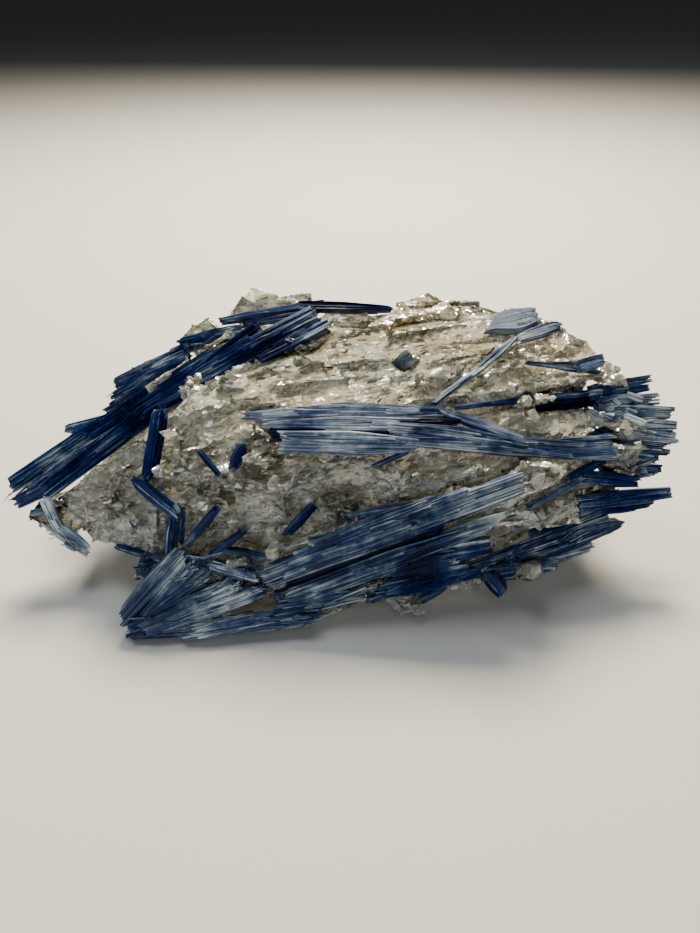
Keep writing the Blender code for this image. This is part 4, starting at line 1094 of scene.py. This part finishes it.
# Each kyanite: stops run from its deepest colour to that of its palest streaks, and base is the
# place on them that is most common. stria is how strongly its fine streaks show, dust how thickly
# dust lies on it, and rough its least and its most roughness.
KYANITES = {
    "royal kyanite": dict(
        stops=[(0.02, BLACK), (0.2, NAVY), (0.44, ROYAL), (0.64, SLATE), (0.82, GREY), (1.0, PALE)],
        base=0.35, dust=0.12, dust_colour=(0.20, 0.27, 0.36), specular=0.08),
    "slate kyanite": dict(
        stops=[(0.02, BLACK), (0.18, NAVY), (0.34, ROYAL), (0.5, SLATE), (0.72, GREY), (1.0, PALE)],
        base=0.48, dust=0.35, dust_colour=(0.28, 0.33, 0.36)),
    "violet kyanite": dict(
        stops=[(0.0, (0.001, 0.003, 0.014)), (0.2, (0.006, 0.014, 0.05)), (0.4, (0.028, 0.05, 0.115)),
               (0.6, (0.085, 0.125, 0.21)), (0.8, (0.24, 0.29, 0.37)), (1.0, (0.6, 0.62, 0.63))],
        base=0.51, coat=0.25),
    "pale kyanite": dict(
        stops=[(0.0, (0.02, 0.035, 0.08)), (0.4, (0.075, 0.115, 0.175)), (0.7, (0.17, 0.21, 0.25)),
               (1.0, (0.40, 0.42, 0.41))],
        base=0.32, dust=0.6, dust_colour=(0.52, 0.50, 0.42), rough=(0.5, 0.8), coat=0.0, stria=0.3),
    "smoky kyanite": dict(
        stops=[(0.1, (0.008, 0.014, 0.02)), (0.5, (0.05, 0.075, 0.09)), (0.9, (0.2, 0.24, 0.26))],
        base=0.45, stria=0.2),
    # the silver edge blade: its pale stops, up to near white, are a painted reflection on its mirror-like
    # faces
    "silver kyanite": dict(
        stops=[(0.0, (0.003, 0.008, 0.03)), (0.35, (0.03, 0.07, 0.13)), (0.55, (0.20, 0.31, 0.42)),
               (0.8, (0.62, 0.74, 0.84)), (1.0, (0.92, 0.96, 1.0))],
        base=0.54, rough=(0.12, 0.3), coat=0.6, specular=0.6, stria=0.9),
}

# The quartz's colours, dark to pale, where it faces out and where it faces up.
FRONT_QUARTZ = [(0.0, (0.02, 0.024, 0.02)), (0.25, (0.20, 0.21, 0.185)), (0.5, (0.55, 0.565, 0.52)),
                (0.75, (0.84, 0.85, 0.81)), (1.0, (0.95, 0.95, 0.93))]
TOP_QUARTZ = [(0.0, (0.10, 0.09, 0.05)), (0.25, (0.34, 0.315, 0.20)), (0.5, (0.52, 0.50, 0.365)),
              (0.75, (0.68, 0.665, 0.52)), (1.0, (0.92, 0.90, 0.80))]
STAINED, SMOKE_AND_SHADE_COLOUR, CREAM = (0.50, 0.38, 0.18), (0.06, 0.062, 0.045), (0.86, 0.82, 0.68)


# Streaks along a blade, from noise on its along map: how close they are along and across it, the
# noise's detail, roughness and distortion, and the values where they start and are full.
STREAKS = {
    "Streak": (0.35, 6.0, (3.0, 0.55, 0.0), (0.3, 0.7)),
    "Stria": (0.28, 16.0, (5.0, 0.75, 0.0), (0.34, 0.66)),
    "Fibre": (1.0, 48.0, (2.0, 0.6, 0.0), (0.56, 0.74)),
    "Blotch": (1.2, 3.0, (5.0, 0.65, 0.4), (0.3, 0.7)),
    "Tick": (22.0, 3.0, (2.0, 0.5, 0.0), (0.64, 0.74)),
}


def cleavage_group():
    """The streaks, and the height that the bands and the striae make together. Ticks are those of
    the parting across a blade."""
    tree, _, made = new_group("cleavage streaks", {}, dict.fromkeys((*STREAKS, "Height"), FLOAT))
    along = put(tree, "ShaderNodeUVMap", uv_map="along").outputs[0]
    fields = {}
    for label, (run, side, look, span) in STREAKS.items():
        fields[label] = noise(tree, stretched(tree, along, (run, side, 1.0)), 1.0, *look)
        tree.links.new(between(tree, fields[label], *span), made.inputs[label])
    height = maths(tree, "ADD", times(tree, fields["Streak"], 0.5), times(tree, fields["Stria"], 0.5))
    tree.links.new(height, made.inputs["Height"])
    return tree


def kyanite(name, group, stops, base=0.4, dust=0.3, dust_colour=(0.33, 0.36, 0.37), rough=(0.25, 0.6),
            coat=0.03, specular=0.14, stria=0.6):
    """Striated kyanite: a place on its stops, from its streaks, frosted patches, some of them painted
    highlights, its ends and painted shade in its grooves, then dust on it."""
    material, tree, shader = new_material(name, Coat_Weight=coat, Coat_Roughness=0.2,
                                          Specular_IOR_Level=specular)
    streaks = put(tree, "ShaderNodeGroup", node_tree=group).outputs
    place = object_place(tree)
    cloud = between(tree, noise(tree, place, 64.0, 4.0, 0.6), 0.38, 0.64)
    # from the base, less about what middling streaks, tone and clouds add to it
    # frosted patches make it paler, and some of them are painted highlights
    depth = with_shares(tree, maths(tree, "ADD", attribute(tree, "frost_and_highlight"), base - 0.34 - stria / 2), (
        (streaks["Streak"], 0.26), (streaks["Stria"], stria), (streaks["Blotch"], 0.14),
        (attribute(tree, "tone"), 0.14), (cloud, 0.38), (attribute(tree, "fray"), 0.25),
        # painted shade: the low ridges darken, as shade in the grooves between them
        (attribute(tree, "painted_groove_shade"), -0.3)))
    # fibres stand out where the blade is frosted
    fibrous = times(tree, streaks["Fibre"], between(tree, depth, 0.2, 0.7, 0.2, 0.5))
    colour = ramp(tree, maths(tree, "ADD", depth, fibrous), stops)
    grit = between(tree, noise(tree, place, 420.0, 6.0, 0.75), 0.52, 0.66)
    film = between(tree, noise(tree, place, 55.0, 3.0, 0.6), 0.45, 0.7)
    colour = mixed(tree, times(tree, times(tree, grit, film), dust, clamp=True), colour, dust_colour)
    colour = mixed(tree, times(tree, streaks["Tick"], 0.12), colour, dust_colour)
    tree.links.new(colour, shader.inputs["Base Color"])
    gloss = maths(tree, "ADD", times(tree, streaks["Blotch"], 0.5), depth)
    tree.links.new(between(tree, gloss, 0.1, 1.1, *rough), shader.inputs["Roughness"])
    bump = put(tree, "ShaderNodeBump", {"Strength": 0.6, "Distance": 0.0003, "Height": streaks["Height"]})
    tree.links.new(bump.outputs[0], shader.inputs["Normal"])
    return material


CHUNKS = 150.0  # scale of the largest fractures
CHIPS = 2.6  # how much finer chips are than cells
BEND = 0.004  # metres over which a noise bends the pattern
LEDGE_DIP = 12.0  # degrees
HALF = (0.5, 0.5, 0.5)


def fracture_group():
    """Flat fractures: each cell of three patterns, chunks, cells and chips, drawn out along the
    ledges, tips the surface its own way and has its own value, which the quartz's colour takes as
    painted shade and reflection of that facet; cells have edges, painted pale there as glints, and
    cracks run between chunks."""
    tree, given, made = new_group(
        "quartz fractures", {"Scale": 300.0, "Tip": 0.4},
        {"Normal": VECTOR, **dict.fromkeys(("Chunk", "Cell", "Chip", "Edge glint", "Crack"), FLOAT)})
    place = object_place(tree)
    bent = put(tree, "ShaderNodeTexNoise", {"Vector": place, "Scale": 160.0, "Detail": 3.0}).outputs["Color"]
    place = vector_maths(tree, "ADD", place, scaled(tree, vector_maths(tree, "SUBTRACT", bent, HALF), BEND))
    place = stretched(tree, place, (1.0, 1.0, 1.0), (0, math.radians(LEDGE_DIP), -math.radians(LEDGE_TURN)))
    place = stretched(tree, place, (0.45, 1.0, 1.3))
    size = given.outputs["Scale"]
    tips = None
    for label, scale in (("Cell", size), ("Chip", times(tree, size, CHIPS)), ("Chunk", CHUNKS)):
        own = cell_pattern(tree, place, scale)["Color"]
        tree.links.new(put(tree, "ShaderNodeSeparateColor", {0: own}).outputs[0], made.inputs[label])
        tip = vector_maths(tree, "SUBTRACT", own, HALF)
        tips = vector_maths(tree, "ADD", tips, tip) if tips else tip
    tips = scaled(tree, tips, given.outputs["Tip"])
    normal = vector_maths(tree, "NORMALIZE", vector_maths(tree, "ADD", surface_normal(tree), tips))
    tree.links.new(normal, made.inputs["Normal"])
    for label, scale, width in (("Crack", CHUNKS, 0.035), ("Edge glint", size, 0.06)):
        rim = cell_pattern(tree, place, scale, "DISTANCE_TO_EDGE")["Distance"]
        tree.links.new(between(tree, rim, 0.0, width, 1.0, 0.0), made.inputs[label])
    return tree


def milky_quartz(name, group, scale, tip):
    """Broken milky quartz, half clear: cream and stained where it faces up, smoky grey where it
    faces out, with white threads and dark cracks in it and a glassy face on every fracture."""
    material, tree, shader = new_material(name, Specular_IOR_Level=0.5, IOR=1.45, Transmission_Weight=0.5)
    place = object_place(tree)
    smoke_and_shade = attribute(tree, "smoke_and_shade")
    breaks = put(tree, "ShaderNodeGroup", {"Scale": scale, "Tip": tip}, node_tree=group).outputs
    cloud = noise(tree, place, 60.0, 4.0, 0.6)
    milk = between(tree, noise(tree, place, 130.0, 6.0, 0.7, 0.6), 0.36, 0.66)
    grain = noise(tree, place, 480.0, 5.0, 0.75)
    # the top zone: what faces up, and what is high
    zone = maths(tree, "ADD", between(tree, upward(tree, surface_normal(tree)), -0.1, 0.8, 0.0, 0.6),
                 between(tree, upward(tree, place), 0.035, 0.058, 0.0, 0.35))
    zone = maths(tree, "ADD", zone, times(tree, maths(tree, "SUBTRACT", cloud, 0.5), 0.6), clamp=True)
    # how pale: by fracture, where each facet's value is painted shade and reflection, in clouds, threads and
    # grains, with painted glints along the cell edges
    drawn_out = stretched(tree, place, (0.6, 1.4, 1.6))
    level = with_shares(tree, maths(tree, "ADD", times(tree, attribute(tree, "tone"), 0.2), -0.14), (
        (breaks["Chunk"], 0.32), (breaks["Cell"], 0.28), (breaks["Chip"], 0.28), (milk, 0.24),
        (times(tree, breaks["Crack"], between(tree, cloud, 0.4, 0.6)), -0.4),
        (thread(tree, drawn_out, 110.0, 0.012), 0.45), (thread(tree, drawn_out, 85.0, 0.010), -0.4),
        (between(tree, grain, 0.35, 0.65), 0.16), (times(tree, breaks["Edge glint"], milk), 0.18)))
    top = ramp(tree, level, TOP_QUARTZ)
    colour = mixed(tree, zone, ramp(tree, level, FRONT_QUARTZ), top)
    rusty = between(tree, noise(tree, place, 120.0, 5.0, 0.7), 0.35, 0.6)
    colour = mixed(tree, times(tree, attribute(tree, "stain"), rusty), colour, STAINED)
    # smoky patches darken it, and in the slot under the right finger blade that darkening is painted shade
    blotch = between(tree, noise(tree, place, 140.0, 5.0, 0.7), 0.3, 0.55)
    colour = mixed(tree, times(tree, smoke_and_shade, blotch, clamp=True), colour, SMOKE_AND_SHADE_COLOUR)
    # a strength below nothing in the smoky patches is cream
    creamed = times(tree, times(tree, smoke_and_shade, -1.0, clamp=True), 0.85)
    colour = mixed(tree, creamed, colour, mixed(tree, 0.5, CREAM, top))
    tree.links.new(colour, shader.inputs["Base Color"])
    gloss = maths(tree, "ADD", times(tree, breaks["Cell"], 0.5), times(tree, milk, 0.5))
    tree.links.new(between(tree, gloss, 0.1, 0.9, 0.06, 0.3), shader.inputs["Roughness"])
    bump = put(tree, "ShaderNodeBump", {"Strength": 0.25, "Distance": 0.0003, "Height": grain,
                                        "Normal": breaks["Normal"]})
    tree.links.new(bump.outputs[0], shader.inputs["Normal"])
    return material


# --- stage --------------------------------------------------------------------------------------------

# Each light: where it is, in metres, its size, its watts and its colour. All face AIM.
LIGHTS = {
    "key": ((0.05, 0.60, 0.77), 0.32, 28.0, (1.0, 0.89, 0.71)),
    "sky": ((-0.25, 0.22, 0.95), 0.45, 4.6, (0.84, 0.93, 1.0)),
    "window": ((-0.35, -0.86, 0.22), 0.35, 3.0, (0.84, 0.92, 1.0)),
    "front glint": ((0.30, -0.45, 0.75), 0.10, 0.4, (0.93, 0.97, 1.0)),
}
AIM = (0.0, 0.0, 0.03)
FLOOR_SIZE, FLOOR_COLOUR = 40.0, (0.62, 0.60, 0.55, 1.0)
ROOM_COLOUR, ROOM_STRENGTH = (0.80, 0.88, 1.0, 1.0), 0.03
EYE = (0.0013, -0.1969, 0.165)  # metres
DOWN = 35.3  # degrees that the camera looks down
SENSOR = 36.0
FOCAL_SHARE = 700 / 933  # of the sensor's height


def stage():
    """A plain pale floor, a warm light from behind, cool ones above and in front, and a dim room."""
    bpy.ops.mesh.primitive_plane_add(size=FLOOR_SIZE)
    floor = bpy.context.object
    floor.name = "floor"
    material, _, _ = new_material("plain floor", Base_Color=FLOOR_COLOUR, Roughness=0.8)
    floor.data.materials.append(material)
    for name, (place, size, watts, colour) in LIGHTS.items():
        light = bpy.data.lights.new(name, "AREA")
        light.size = size
        light.energy = watts
        light.color = colour
        lamp = bpy.data.objects.new(name, light)
        lamp.location = place
        away = np.array(place) - np.array(AIM)
        lamp.rotation_euler = (math.atan2(math.hypot(away[0], away[1]), away[2]), 0,
                               math.atan2(away[0], -away[1]))
        bpy.context.scene.collection.objects.link(lamp)
    world = bpy.data.worlds.new("room")
    world.use_nodes = True
    room = world.node_tree.nodes["Background"]
    room.inputs["Color"].default_value = ROOM_COLOUR
    room.inputs["Strength"].default_value = ROOM_STRENGTH
    bpy.context.scene.world = world


def camera():
    """A view from the front and above."""
    view = bpy.data.cameras.new("view")
    view.sensor_fit = "VERTICAL"
    view.sensor_height = SENSOR
    view.lens = FOCAL_SHARE * SENSOR
    view.clip_start = 0.01
    seen = bpy.data.objects.new("view", view)
    seen.location = EYE
    seen.rotation_euler = (math.radians(90 - DOWN), 0, 0)
    bpy.context.scene.collection.objects.link(seen)
    bpy.context.scene.camera = seen


def main():
    camera()
    stage()
    streaks = cleavage_group()
    finishes = {name.replace(" ", "_"): kyanite(name, streaks, **look) for name, look in KYANITES.items()}
    for number, (node, rows) in enumerate(BLADES.items()):
        # the silver edge blade takes the kyanite with a painted reflection
        finish = "silver_kyanite" if node == "silver_edge_blade" else SLOTS[node]
        blade_piece(node, rows, finishes[finish], number)
    painted_shade_blades(finishes["royal_kyanite"])
    fractures = fracture_group()
    surface, triangles, normals = break_quartz()
    quartz_piece("quartz_broken_surface", surface, triangles, np.full(len(surface), 0.5),
                 milky_quartz("milky quartz", fractures, 450.0, 0.9), ["quartz_matrix"], 10.0)
    plate_piece(surface, normals, milky_quartz("glassy quartz", fractures, 450.0, 0.2))
    search = skin_search(surface, triangles)
    crack_blades(finishes["slate_kyanite"], search)
    for number, (name, brush) in enumerate(BRUSHES.items()):
        brush_piece(name, brush, finishes["slate_kyanite"], number, search)


main()
